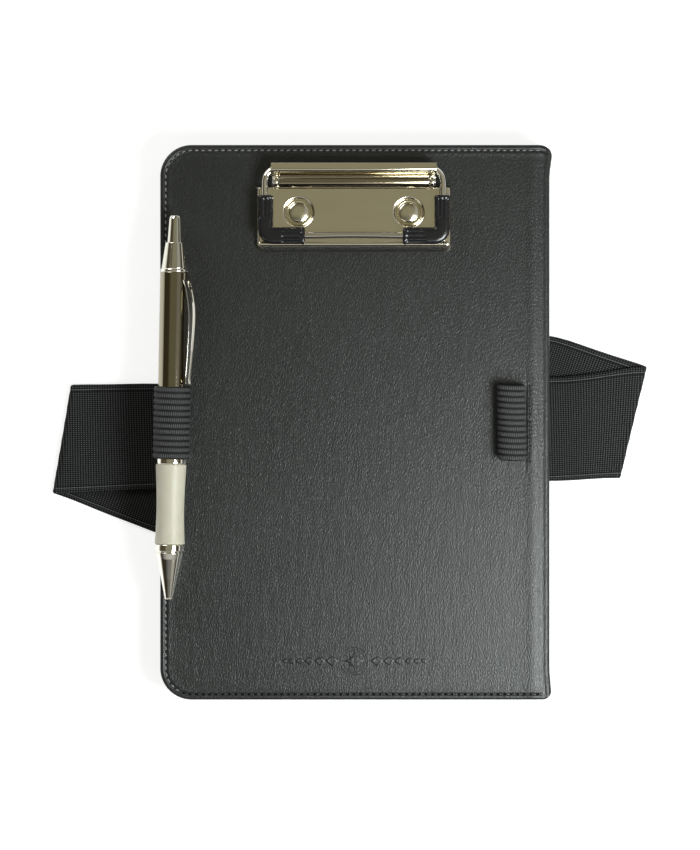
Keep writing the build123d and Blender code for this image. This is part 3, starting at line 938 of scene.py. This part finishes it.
near = [1, 0.9985, 0.995, 0.99, 0.984, 0.976, 0.967, 0.957, 0.945]
shares = [-s for s in near] + [s for s in near] + [0.93 * k / 74 for k in range(-74, 75)]
front_rows = [plate_front + s for s in (0, 0.05, 0.15, 0.3, 0.5, 0.75, 1.0, 1.3, 1.6, 1.9, 2.2, 2.45, 2.7, 3.0)]
back_rows = [pan_back - s for s in (0, 0.04, 0.1, 0.2, 0.32, 0.45, 0.6)]
middle_rows = [plate_front + 3.3 + (pan_back - plate_front - 4.1) * k / 50 for k in range(51)]
plate = grid_piece(
    "clip_plate_pan",
    sorted(shares),
    sorted(front_rows + middle_rows + back_rows),
    pan_point,
    nickel,
    "front_cover",
)
thicken(plate, 0.55)

pin_low, pin_high = (Vector(p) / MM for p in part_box("clip_pin"))
pin_y, pin_z = (pin_low.y + pin_high.y) / 2, (pin_low.z + pin_high.z) / 2
pin_radius = 1.4


def prism(name, outline, x_low, x_high, material, body, bevel=0.15):
    """A sheet shape given as (y, z), extruded across the clip, its edges softened."""
    points = [at_cover(x, y, z) for x in (x_low, x_high) for y, z in outline]
    size = len(outline)
    faces = [tuple(reversed(range(size))), tuple(range(size, 2 * size))]
    for k in range(size):
        n = (k + 1) % size
        faces.append((k, n, n + size, k + size))
    piece = add_piece(name, points, faces, material, body)
    soft = piece.modifiers.new("soft_edges", "BEVEL")
    soft.width = bevel * MM
    soft.segments = 3
    soft.limit_method = "ANGLE"
    soft.angle_limit = math.radians(40)
    return piece


def arc(centre_y, centre_z, radius, start, end, count):
    turns = [math.radians(start + (end - start) * k / (count - 1)) for k in range(count)]
    return [(centre_y + radius * math.cos(t), centre_z + radius * math.sin(t)) for t in turns]


ear_radius = 2.5
ears = []
for side in (-1, 1):
    inner, outer = clip_x + side * (shelf_half - 1.5), clip_x + side * shelf_half
    outline = arc(pin_y, pin_z, ear_radius, -40, 215, 28)
    outline += [(pin_y - ear_radius, face_z + 0.1), (pin_y + 0.5, face_z + 0.1)]
    name = "clip_plate_ear_" + ("left" if side < 0 else "right")
    ears.append(
        prism(name, outline, min(inner, outer), max(inner, outer), nickel, "front_cover", 0.25)
    )
shelf_outline = [
    (pan_back - 0.7, face_z + 0.05),
    (shelf_back, face_z + 0.05),
    (shelf_back, face_z + steel_sheet),
    (pan_back - 0.7, face_z + steel_sheet),
]
prism(
    "clip_plate_shelf",
    shelf_outline,
    clip_x - shelf_half,
    clip_x + shelf_half,
    nickel,
    "front_cover",
)
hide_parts("clip_plate")

# Rivets: two shallow-domed tubular rivets that hold the plate to the board.


def lathe_points(profile, around=72):
    """A round piece about +Y from (radius, y) pairs, closed where the radius is 0."""
    points, rings, faces = [], [], []
    for radius, y in profile:
        if radius < 1e-6:
            rings.append([len(points)])
            points.append(Vector((0, y, 0)))
            continue
        rings.append(list(range(len(points), len(points) + around)))
        for k in range(around):
            turn = k * math.tau / around
            points.append(Vector((radius * math.cos(turn), y, radius * math.sin(turn))))
    for low, high in zip(rings, rings[1:]):
        for k in range(around):
            n = (k + 1) % around
            if len(low) == 1:
                faces.append((low[0], high[k], high[n]))
            elif len(high) == 1:
                faces.append((low[k], high[0], low[n]))
            else:
                faces.append((low[k], high[k], high[n], low[n]))
    return points, faces


dome_top = 1.7
rivet_profile = [(0, dome_top)] + [(r, dome_top - r * r / 22) for r in (0.6, 1.2, 1.8, 2.4, 3.0, 3.3)]
for k in range(1, 9):
    turn = math.radians(17 + 73 * k / 8)
    rivet_profile.append((3.0 + 1.3 * math.sin(turn), dome_top - 1.75 + 1.3 * math.cos(turn)))
rivet_profile.append((4.3, -0.1))
turned, rivet_faces = lathe_points(rivet_profile, 64)
rivet_floor = face_z + steel_sheet
points, faces = [], []
for side in (-1, 1):
    shift = len(points)
    for p in turned:
        points.append(at_cover(clip_x + side * rivet_x + p.x, rivet_y - p.z, rivet_floor + p.y))
    faces += [tuple(i + shift for i in f) for f in rivet_faces]
rivets = add_piece("clip_rivet_heads", points, faces, nickel, "front_cover")
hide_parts("clip_rivets")

# Press lever: one bent strip of nickel-plated steel. Its curl turns on the pin, a
# hollow runs behind it, and the raised lip at the back is pressed with the thumb.

lever_half = 31.5
lip_thick = 0.75
curl_thick = 0.55


def ribbon(line, thick):
    """The outline of a bent strip from its middle line, with a rounded free end."""
    left, right = [], []
    for k, (y, z) in enumerate(line):
        ay, az = line[max(0, k - 1)]
        by, bz = line[min(len(line) - 1, k + 1)]
        run = math.hypot(by - ay, bz - az)
        ny, nz = -(bz - az) / run, (by - ay) / run
        left.append((y + ny * thick / 2, z + nz * thick / 2))
        right.append((y - ny * thick / 2, z - nz * thick / 2))
    return left + right[::-1]


def smooth_line(points, steps):
    """A flowing line through given points (each point any number of values)."""
    ends = [points[0], *points, points[-1]]
    line = []
    for k in range(1, len(ends) - 2):
        for s in range(steps):
            t = s / steps
            row = []
            for a, b, c, d in zip(ends[k - 1], ends[k], ends[k + 1], ends[k + 2]):
                near = 2 * b + (c - a) * t + (2 * a - 5 * b + 4 * c - d) * t * t
                row.append(0.5 * (near + (3 * b - a - 3 * c + d) * t**3))
            line.append(tuple(row))
    return line + [tuple(points[-1])]


lip_turns = [(6.75, 2.9), (6.1, 2.95), (5.3, 3.03), (4.55, 3.1), (3.95, 2.85), (3.55, 2.2), (3.1, 1.2), (2.7, 0.3)]
lip_line = [(pin_y + y, pin_z + z) for y, z in smooth_line(lip_turns, 5)]
lip = prism(
    "clip_lever_lip",
    ribbon(lip_line, lip_thick),
    clip_x - lever_half,
    clip_x + lever_half,
    nickel,
    "clip_jaw",
    0.12,
)
curl_radius = 2.35
curl_half = shelf_half - 2.0
# The curl is the same nickel as the lip, given a darker colour: painted shade.
curl_nickel_painted_shade = plated("curl_nickel_painted_shade", (0.38, 0.33, 0.24), 0.12, 0.06)
curl_line = arc(pin_y, pin_z, curl_radius, 8, 275, 44)
curl = prism(
    "clip_lever_curl",
    ribbon(curl_line, curl_thick),
    clip_x - curl_half,
    clip_x + curl_half,
    curl_nickel_painted_shade,
    "clip_jaw",
    0.1,
)
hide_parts("clip_lever")

# Wire bail and its sockets: bright spring wire, sprung into a tube at each end of
# the lever, bent out and forward to press the sheets onto the plate.

bail_low, bail_high = (Vector(p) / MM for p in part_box("wire_bail"))
wire_radius = 1.25
bail_half = (bail_high.x - bail_low.x) / 2 - wire_radius
bail_front = bail_low.y + wire_radius
bail_end = bail_high.y - wire_radius


def chrome(name, colour, roughness):
    made = Finish(name, metallic=1.0)
    haze = made.noise(made.place(), 0.15, 2.0)
    made.set(base_color=made.mix(haze, tuple(c * 0.95 for c in colour), colour))
    made.set(roughness=haze * 0.04 + roughness)
    return made.material


bail_chrome = chrome("bail_chrome", (0.86, 0.84, 0.76), 0.03)


def sweep(name, path, section, material, body, up=Vector((0, 0, 1)), capped=True):
    """Carries a section along a path; section(k, share) gives (across, up) pairs."""
    points, faces = [], []
    travelled = [0.0]
    for a, b in zip(path, path[1:]):
        travelled.append(travelled[-1] + (b - a).length)
    size = 0
    for k, at in enumerate(path):
        ahead = (path[min(len(path) - 1, k + 1)] - path[max(0, k - 1)]).normalized()
        side = ahead.cross(up).normalized()
        rise = side.cross(ahead)
        ring = section(travelled[k], travelled[-1])
        size = len(ring)
        points += [at + side * (across * MM) + rise * (height * MM) for across, height in ring]
    for k in range(len(path) - 1):
        for m in range(size):
            n = (m + 1) % size
            a, b = k * size, (k + 1) * size
            faces.append((a + m, a + n, b + n, b + m))
    if capped:
        faces.append(tuple(reversed(range(size))))
        faces.append(tuple(range(len(points) - size, len(points))))
    return add_piece(name, points, faces, material, body)


def round_section(radius, around=24):
    turns = [k * math.tau / around for k in range(around)]
    ring = [(radius * math.cos(t), radius * math.sin(t)) for t in turns]
    return lambda travelled, whole: ring


def bail_path():
    half, corner = bail_half, 4.0
    turn_in = [(lever_half - 2.6, bail_end), (lever_half - 0.6, bail_end), (lever_half + 0.5, bail_end - 0.45)]
    turn_in += [(half - 0.35, bail_end - 2.0), (half + 0.25, bail_end - 4.6), (half + 0.2, bail_end - 8.5)]
    right = smooth_line(turn_in, 6) + [(half, bail_front + corner + 4)]
    right += [
        (half - corner + corner * math.cos(t), bail_front + corner - corner * math.sin(t))
        for t in (math.radians(k * 9) for k in range(11))
    ]
    sag = [(half - corner - (half - corner) * k / 12, bail_front + 0.35 * step(0, 12, k)) for k in range(1, 13)]
    side = right + sag
    whole = side + [(-x, y) for x, y in reversed(side[:-1])]
    return [at_cover(clip_x + x, y, pin_z) for x, y in whole]


bail_line = bail_path()
bail = sweep("wire_bail_wire", bail_line, round_section(wire_radius), bail_chrome, "clip_jaw")
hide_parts("wire_bail")
socket_profile = [(1.35, 0), (1.9, 0), (2.0, 0.15), (2.0, 3.2), (1.9, 3.35), (1.35, 3.35)]
turned, socket_faces = lathe_points(socket_profile, 32)
for side in (-1, 1):
    points = []
    for p in turned:
        points.append(at_cover(clip_x + side * (lever_half - p.y), bail_end + p.x, pin_z + p.z))
    faces = socket_faces if side > 0 else [tuple(reversed(f)) for f in socket_faces]
    name = "bail_socket_" + ("left" if side < 0 else "right")
    add_piece(name, points, faces, nickel, "clip_jaw")

# Corner sleeves: black moulded plastic pushed over the wire at its two corners, with
# finger ribs along both arms and a bead round each end.


def moulded(name, colour, roughness):
    made = Finish(name, specular_ior_level=0.5)
    orange = made.noise(made.place(), 1.4, 2.0)
    made.set(base_color=made.mix(orange, tuple(c * 0.8 for c in colour), colour))
    made.set(roughness=orange * 0.1 + roughness)
    made.bump(orange, 0.02)
    return made.material


sleeve_plastic = moulded("sleeve_plastic", (0.008, 0.008, 0.010), 0.17)
sleeve_half_wide, sleeve_half_deep = 2.85, 2.2
sleeve_up, sleeve_across = 15.4, 15.0


def sleeve_section(travelled, whole, upright_first):
    near = min(travelled, whole - travelled)
    upright = travelled if upright_first else whole - travelled
    wide = sleeve_half_wide + 0.35 * step(11.5 * MM, 15 * MM, upright)
    near, whole = near / MM, whole / MM
    ribbed = step(1.0, 1.7, near) * step(9.4, 8.0, near)
    bead = 0.22 * hump(0.75, 0.4, near)
    close = 0.35 * step(0.35, 0.0, near)
    ring = []
    for k in range(64):
        turn = k * math.tau / 64
        c, s = math.cos(turn), math.sin(turn)
        squash = (abs(c) ** 3.4 + abs(s) ** 3.4) ** (-1 / 3.4)
        rib = -0.5 * ribbed * max(0.0, math.cos(turn * 11)) ** 1.5 if s > -0.5 else 0.0
        grow = bead - close + rib
        ring.append((squash * c * (wide + grow), squash * s * (sleeve_half_deep + grow * 0.8)))
    return ring


def sleeve_path(side):
    corner = 3.2
    path = []
    for k in range(34):
        path.append((bail_half, bail_front + sleeve_up - (sleeve_up - corner) * k / 33))
    for k in range(1, 13):
        turn = math.radians(k * 7.5)
        path.append((bail_half - corner * (1 - math.cos(turn)), bail_front + corner * (1 - math.sin(turn))))
    for k in range(1, 28):
        path.append((bail_half - corner - (sleeve_across - corner) * k / 27, bail_front))
    return [at_cover(clip_x + side * x, y, pin_z) for x, y in path]


for side, node in ((-1, "sleeve_left"), (1, "sleeve_right")):
    path = sleeve_path(side)
    path = path if side > 0 else path[::-1]
    form = lambda travelled, whole, first=side > 0: sleeve_section(travelled, whole, first)
    made = sweep(node + "_moulding", path, form, sleeve_plastic, "clip_jaw")
    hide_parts(node)

# Torsion spring: a close coil of wire on the pin that holds the bail down.

coil_half, coil_wire, coil_turns = 9.0, 0.27, 30
coil_path = []
for k in range(coil_turns * 12 + 1):
    turn = k * math.tau / 12
    across = clip_x - coil_half + 2 * coil_half * k / (coil_turns * 12)
    reach = pin_radius + 0.1 + coil_wire
    coil_path.append(at_cover(across, pin_y + reach * math.cos(turn), pin_z + reach * math.sin(turn)))
coil = sweep(
    "torsion_spring_coil",
    coil_path,
    round_section(coil_wire, 6),
    staple_steel,
    "clip_jaw",
    up=Vector((1, 0, 0)),
)
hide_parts("torsion_spring")

# Pen: a retractable ballpoint with a polished chrome shell. Each turned piece is
# lathed about the pen's own leaning axis, with its edges broken.

barrel_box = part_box("pen_barrel")
pen_axis = next(Vector(j["axis"]) for j in frame["joints"] if j["name"] == "pen_pull")
pen_lean = math.atan2(pen_axis.x, pen_axis.y)
barrel_middle = (Vector(barrel_box[0]) + Vector(barrel_box[1])) / 2 / MM
pen_z = barrel_middle.z
pen_origin_x = barrel_middle.x - barrel_middle.y * math.tan(pen_lean)
pen_chrome = chrome("pen_chrome", (0.33, 0.30, 0.225), 0.05)
pen_bright = chrome("pen_bright_chrome", (0.72, 0.71, 0.62), 0.08)


def at_pen(p):
    """A point of the pen from its own millimetres: x out, y along towards the button."""
    x = p[0] * math.cos(pen_lean) + p[1] * math.sin(pen_lean)
    y = -p[0] * math.sin(pen_lean) + p[1] * math.cos(pen_lean)
    return Vector(((pen_origin_x + x) * MM, y * MM, (pen_z + p[2]) * MM))


def pen_turning(name, profile, material, body, slot, *nodes):
    points, faces = lathe_points(profile, 96)
    piece = add_piece(name, [at_pen(p) for p in points], faces, material, body)
    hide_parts(*nodes)
    return piece


def broken_edge(profile, radius=0.12):
    """Rounds the corners of a turned outline, with a point held either side of each."""
    made = []
    for k, (r, y) in enumerate(profile):
        if k in (0, len(profile) - 1):
            made.append((r, y))
            continue
        sides = []
        for r2, y2 in (profile[k - 1], profile[k + 1]):
            run = math.hypot(r2 - r, y2 - y)
            near, far = min(0.2, radius / run), min(0.4, 2.4 * radius / run)
            sides.append([(r + (r2 - r) * t, y + (y2 - y) * t) for t in (near, far)])
        made += [sides[0][1], sides[0][0], sides[1][0], sides[1][1]]
    return made


cone_low = 58.4
pen_turning(
    "pen_button_cap",
    broken_edge([(0, 50.4), (2.9, 50.4), (2.9, 68.2), (2.3, 77.6), (1.9, 78.6), (0, 78.8)], 0.35),
    pen_bright,
    "pen_click",
    "pen_chrome",
    "pen_button",
)
pen_turning(
    "pen_top_cone",
    broken_edge([(2.98, cone_low), (4.85, cone_low), (4.9, cone_low + 0.3), (3.6, 68.3), (2.98, 68.3)]),
    pen_bright,
    "pen",
    "pen_chrome",
    "pen_cone",
)
pen_turning(
    "pen_trim",
    broken_edge([(2.98, 57.0), (5.2, 57.0), (5.35, 57.35), (5.3, 58.1), (5.0, 58.4), (2.98, 58.4)]),
    bail_chrome,
    "pen",
    "pen_chrome",
    "pen_trim_ring",
)
pen_turning(
    "pen_barrel_tube",
    broken_edge([(4.7, -13.5), (5.5, -13.5), (5.5, 57.0), (4.7, 57.0), (4.7, -13.5)]),
    pen_chrome,
    "pen",
    "pen_chrome",
    "pen_barrel",
)
pen_turning(
    "pen_middle_ring",
    broken_edge([(4.6, -15.9), (5.6, -15.9), (5.75, -15.5), (5.75, -13.9), (5.6, -13.52), (4.6, -13.52)], 0.2),
    bail_chrome,
    "pen",
    "pen_chrome",
    "pen_lower_ring",
)
tip_line = [(0.95, -67.3), (1.35, -67.3), (1.5, -66.9), (3.0, -59.6), (4.6, -52.0), (5.2, -49.6), (4.75, -49.4)]
tip_line += [(4.75, -49.1), (5.35, -49.0), (5.45, -48.6), (5.45, -46.7), (5.2, -46.32), (2.4, -46.32)]
pen_turning("pen_tip_cone", broken_edge(tip_line), bail_chrome, "pen", "pen_chrome", "pen_tip")

# Pen grip: a soft translucent sleeve of pale silicone rubber, waisted for the finger.


def silicone():
    made = Finish(
        "pale_silicone",
        subsurface_weight=0.35,
        subsurface_scale=0.003,
        subsurface_radius=(0.9, 1.0, 0.7),
        coat_weight=0.0,
    )
    cloud = made.noise(made.place(), 0.12, 2.0)
    fine = made.noise(made.place(), 4.0, 2.0)
    made.set(base_color=made.mix(cloud, (0.42, 0.405, 0.325), (0.52, 0.49, 0.405)))
    made.set(roughness=fine * 0.1 + 0.42)
    made.bump(fine, 0.01)
    return made.material


grip_turns = [(5.55, -15.95), (5.78, -16.4), (5.7, -19), (5.42, -25), (5.27, -31), (5.27, -35), (5.4, -40)]
grip_turns += [(5.62, -44.5), (5.72, -45.9), (5.5, -46.28)]
grip_profile = [(4.6, -15.95)] + smooth_line(grip_turns, 4) + [(4.6, -46.28)]
grip = pen_turning(
    "pen_grip_sleeve", grip_profile[::-1], silicone(), "pen", "pen_grip_rubber", "pen_grip"
)
pen_plastic = moulded("pen_plastic", (0.6, 0.6, 0.56), 0.3)
brass = steel_finish("refill_brass", (0.75, 0.58, 0.28), 0.2)
finish_node(pen_plastic, "pen_grip_core", "pen_cam")
finish_node(brass, "pen_refill", "pen_point")

# Pen clip: a bent chrome strip welded near the top of the barrel. It bows out and
# comes back to the barrel just above the loop, with a small turned-up toe.

clip_stations = [(4.9, 54.2, 1.5), (5.7, 53.6, 2.0), (6.9, 51.2, 2.25), (7.8, 47.8, 2.35), (8.4, 44.5, 2.3)]
clip_stations += [(8.7, 41.0, 2.2), (8.65, 36.0, 2.05), (8.25, 29.0, 1.85), (7.7, 22.0, 1.7), (7.3, 17.8, 1.65)]
clip_stations += [(7.25, 16.0, 1.65), (7.55, 14.6, 1.6)]
clip_roll = math.radians(35)
clip_sheet = 0.8


def pen_clip():
    line = smooth_line(clip_stations, 6)
    points, faces, around = [], [], 20
    for k, (x, y, half) in enumerate(line):
        ax, ay, _ = line[max(0, k - 1)]
        bx, by, _ = line[min(len(line) - 1, k + 1)]
        run = math.hypot(bx - ax, by - ay)
        out = Vector((-(by - ay) / run, (bx - ax) / run))
        for m in range(around):
            turn = m * math.tau / around
            c, s = math.cos(turn), math.sin(turn)
            squash = (abs(c) ** 3 + abs(s) ** 3) ** (-1 / 3)
            wide, thick = squash * c * half, squash * s * clip_sheet / 2
            thick -= 0.12 * (wide / half) ** 2 if thick > 0 else 0.55 * (wide / half) ** 2 - 0.5
            px, py = x - out.x * thick, y - out.y * thick
            points.append(
                Vector((
                    px * math.cos(clip_roll) - wide * math.sin(clip_roll),
                    py,
                    px * math.sin(clip_roll) + wide * math.cos(clip_roll),
                ))
            )
    for k in range(len(line) - 1):
        for m in range(around):
            n = (m + 1) % around
            a, b = k * around, (k + 1) * around
            faces.append((a + m, b + m, b + n, a + n))
    faces.append(tuple(range(around)))
    faces.append(tuple(reversed(range(len(points) - around, len(points)))))
    placed = [at_pen(p) for p in points]
    piece = add_piece("pen_clip_strip", placed, faces, bail_chrome, "pen")
    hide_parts("pen_clip")


pen_clip()

# Elastic loops: coarse ribbed elastic. One is sewn to the fore edge round the pen,
# the other stands empty by the spine, both its ends tucked in a sewn slit.


def loop_finish():
    """Thick ribs of black yarn: the gaps are near black, the crowns catch the light."""
    made = Finish("loop_webbing", roughness=0.7, specular_ior_level=0.3)
    where = made.place((1, 1, 1), source="UV")
    part = made.node("SeparateXYZ", None, {"Vector": where})
    rib = part.maths("ABSOLUTE", part.maths("SINE", part * math.pi))
    round_way = Link(made, part.socket.node.outputs[1])
    stagger = part.maths("FLOOR", part) * 0.5
    yarn = part.maths("SINE", (round_way / 0.8 + stagger) * math.tau) * 0.5 + 0.5
    fuzz = made.noise(made.place(), 2.5, 3.0, 0.65)
    crown = made.node("ValToRGB", {"stops": [(0.25, 0.0), (0.85, 1.0)]}, {0: rib})
    cloth = crown * (yarn * yarn * 0.75 + fuzz * 0.4)
    made.set(base_color=made.mix(cloth, (0.0025, 0.0025, 0.003), (0.085, 0.087, 0.09)))
    made.bump(cloth, 0.2)
    return made.material


loop_elastic = loop_finish()


def ribbed_loop(name, outline, low, high, rib, at, body, skew=0.0):
    """Wraps ribbed webbing round a closed outline of ((outer), (inner)) pairs."""
    count = round((high - low) / rib)
    pitch = (high - low) / count
    per = 9
    rows = [low + pitch * k / per for k in range(count * per + 1)]
    points, faces, layout = [], [], []
    around = len(outline)
    lengths = [0.0]
    for (a, _), (b, _) in zip(outline, outline[1:]):
        lengths.append(lengths[-1] + math.dist(a, b))
    random.seed(len(name))
    lift = [random.uniform(0.8, 1.15) for _ in range(count + 1)]
    for inner in (False, True):
        for y in rows:
            phase = (y - low) / pitch
            cord = abs(math.sin(math.pi * phase)) ** 0.62
            swell = 0.5 * lift[int(min(count - 1, phase))] * (cord - 1)
            end = min(y - low, high - y)
            swell -= 0.18 * step(0.5, 0.0, end)
            for k, ((ox, oz), (ix, iz)) in enumerate(outline):
                run = math.hypot(ox - ix, oz - iz)
                nx, nz = (ox - ix) / run, (oz - iz) / run
                slant = skew * math.sin(k / around * math.tau)
                if inner:
                    place = (ix, y + slant, iz)
                else:
                    place = (ox + nx * swell, y + slant, oz + nz * swell)
                points.append(at(place))
                layout.append((phase, lengths[k]))
    tall = len(rows)
    shift = tall * around
    for j in range(tall - 1):
        for k in range(around):
            n = (k + 1) % around
            a, b = j * around, (j + 1) * around
            faces.append((a + k, a + n, b + n, b + k))
            faces.append((a + k + shift, b + k + shift, b + n + shift, a + n + shift))
    last = (tall - 1) * around
    for k in range(around):
        n = (k + 1) % around
        faces.append((k, k + shift, n + shift, n))
        faces.append((last + k, last + n, last + n + shift, last + k + shift))
    piece = add_piece(name, points, faces, loop_elastic, body)
    add_layout(piece, layout)
    return piece


loop_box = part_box("pen_loop")
loop_bore = 6.1
loop_wall = 0.85
pen_ring = []
for k in range(72):
    turn = -k * math.tau / 72
    c, s = math.cos(turn), math.sin(turn)
    flat = 0.25 * step(-0.75, -1.0, s)
    outer = loop_bore + loop_wall + 0.12
    pen_ring.append(((outer * c, max(-outer + 0.05, outer * s)), (loop_bore * c, loop_bore * s)))
pen_loop = ribbed_loop("pen_loop_elastic", pen_ring, -13.7, 13.7, 2.28, at_pen, "front_cover", 0.25)
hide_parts("pen_loop")

spare_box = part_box("spare_loop")
spare_axis_z = spare_box[1][2] / MM - 5.6
spare_x = 59.1
spare_radius, spare_wall = 5.55, 1.0
line = []
for k in range(50):
    turn = math.radians(2 + k * 262 / 49)
    line.append((spare_radius * math.cos(turn), spare_radius * math.sin(turn)))
line += [(1.5, -5.5), (3.2, -5.3), (4.6, -5.05), (5.35, -4.6), (5.6, -3.2), (5.62, -1.6)]
spare_ring = []
for k, (x, z) in enumerate(line):
    ax, az = line[k - 1]
    bx, bz = line[(k + 1) % len(line)]
    run = math.hypot(bx - ax, bz - az)
    nx, nz = -(bz - az) / run, (bx - ax) / run
    spare_ring.append(((x, z), (x + nx * spare_wall * 0.9, z + nz * spare_wall * 0.9)))


def at_spare(p):
    return at_cover(spare_x + p[0] - 0.012 * p[1], p[1], spare_axis_z + p[2])


spare = ribbed_loop(
    "spare_loop_elastic", spare_ring[::-1], -14.4, 14.4, 2.15, at_spare, "front_cover", 0.35
)
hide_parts("spare_loop")
spots = []
for k in range(10):
    y = 13.6 - k * 3.0
    spots.append((at_cover(66.15, y, face_z + 0.2), Vector((0, -1, 0))))
# The slit's stitches take the near-black copy of the thread: painted shade.
slit = (1.5, 0.16, 0.46, 3.0, thread_painted_shade)
seam("spare_loop_seam", spots, Vector((0, 0, 1)), "front_cover", "loop_elastic", *slit)

# Studio: a pale floor that glows a little, a dim room with a warm ceiling, a small
# key light low at the right, and a broad fill behind. The camera looks straight down.

floor_finish = Finish("pale_floor", base_color=(0.5, 0.5, 0.5), roughness=0.9)
floor_finish.set(emission_color=(1.0, 1.0, 1.0), emission_strength=0.74)
floor_level = -0.00005
floor_corners = [(-4, -4, floor_level), (4, -4, floor_level), (4, 4, floor_level), (-4, 4, floor_level)]
floor = add_piece("floor", floor_corners, [(0, 1, 2, 3)], floor_finish.material, None)


def surround():
    """A dim warm ceiling, darker brown shoulders, pale walls, and a dark front."""
    world = bpy.data.worlds.new("studio")
    bpy.context.scene.world = world
    world.use_nodes = True
    tree = world.node_tree
    tree.nodes.clear()

    def ramp(socket, stops):
        made = tree.nodes.new("ShaderNodeValToRGB")
        elements = made.color_ramp.elements
        while len(elements) < len(stops):
            elements.new(0.5)
        for element, (place, colour) in zip(elements, stops):
            element.position = place
            element.color = (*colour, 1)
        tree.links.new(socket, made.inputs[0])
        return made.outputs[0]

    at = tree.nodes.new("ShaderNodeTexCoord")
    split = tree.nodes.new("ShaderNodeSeparateXYZ")
    tree.links.new(at.outputs["Generated"], split.inputs[0])
    lower, upper = (0.75, 0.74, 0.70), (0.27, 0.255, 0.18)
    height = ramp(
        split.outputs[2],
        [(0.0, lower), (0.08, lower), (0.2, (0.07, 0.055, 0.035)), (0.80, (0.09, 0.075, 0.045)), (0.92, upper)],
    )
    def blend(kind, first, second):
        made = tree.nodes.new("ShaderNodeMix")
        made.data_type = "RGBA"
        made.blend_type = kind
        made.inputs[0].default_value = 1.0
        tree.links.new(first, made.inputs[6])
        tree.links.new(second, made.inputs[7])
        return made.outputs[2]

    def half_and_half(socket):
        made = tree.nodes.new("ShaderNodeMath")
        made.operation = "MULTIPLY_ADD"
        made.inputs[1].default_value = made.inputs[2].default_value = 0.5
        tree.links.new(socket, made.inputs[0])
        return made.outputs[0]

    black, white, glow = (0, 0, 0), (1, 1, 1), (0.62, 0.61, 0.57)
    sideways, fore = half_and_half(split.outputs[0]), half_and_half(split.outputs[1])
    front = ramp(fore, [(0.0, (0.03, 0.035, 0.05)), (0.22, (0.10, 0.10, 0.11)), (0.46, white), (1.0, white)])
    window = ramp(
        fore,
        [(0.10, black), (0.155, glow), (0.24, glow), (0.30, black), (0.89, black), (0.91, glow), (0.94, glow), (0.96, black)],
    )
    right = ramp(sideways, [(0.60, black), (0.72, (0.36, 0.35, 0.31)), (0.88, (0.40, 0.39, 0.35)), (0.95, black)])
    mixed = blend("LIGHTEN", blend("LIGHTEN", blend("MULTIPLY", height, front), right), window)
    shine = tree.nodes.new("ShaderNodeBackground")
    output = tree.nodes.new("ShaderNodeOutputWorld")
    tree.links.new(mixed, shine.inputs[0])
    tree.links.new(shine.outputs[0], output.inputs[0])


surround()


def soft_light(name, place, aim, size, power, colour):
    lamp = bpy.data.lights.new(name, "AREA")
    lamp.shape = "RECTANGLE"
    lamp.size, lamp.size_y = size
    lamp.energy = power
    lamp.color = colour
    holder = bpy.data.objects.new(name, lamp)
    bpy.context.collection.objects.link(holder)
    holder.location = place
    holder.rotation_mode = "QUATERNION"
    holder.rotation_quaternion = (Vector(aim) - Vector(place)).to_track_quat("-Z", "Y")


soft_light("key", (0.215, -0.125, 0.40), (0.05, -0.05, 0.02), (0.2, 0.2), 2.8, (0.95, 1.0, 0.99))
soft_light("fill", (-0.85, 0.95, 0.85), (0, 0, 0), (0.8, 0.6), 8.5, (0.98, 1.0, 1.0))

camera = bpy.data.cameras.new("camera")
holder = bpy.data.objects.new("camera", camera)
bpy.context.collection.objects.link(holder)
bpy.context.scene.camera = holder
distance = 1.5
seen_height = 0.3247
camera.sensor_width = 36
camera.lens = camera.sensor_width * distance / seen_height
camera.clip_start, camera.clip_end = 0.1, 10
holder.location = ((cover_x - 2.48) * MM, -1.03 * MM, face_z * MM + distance)
bpy.context.scene.view_settings.view_transform = "Standard"
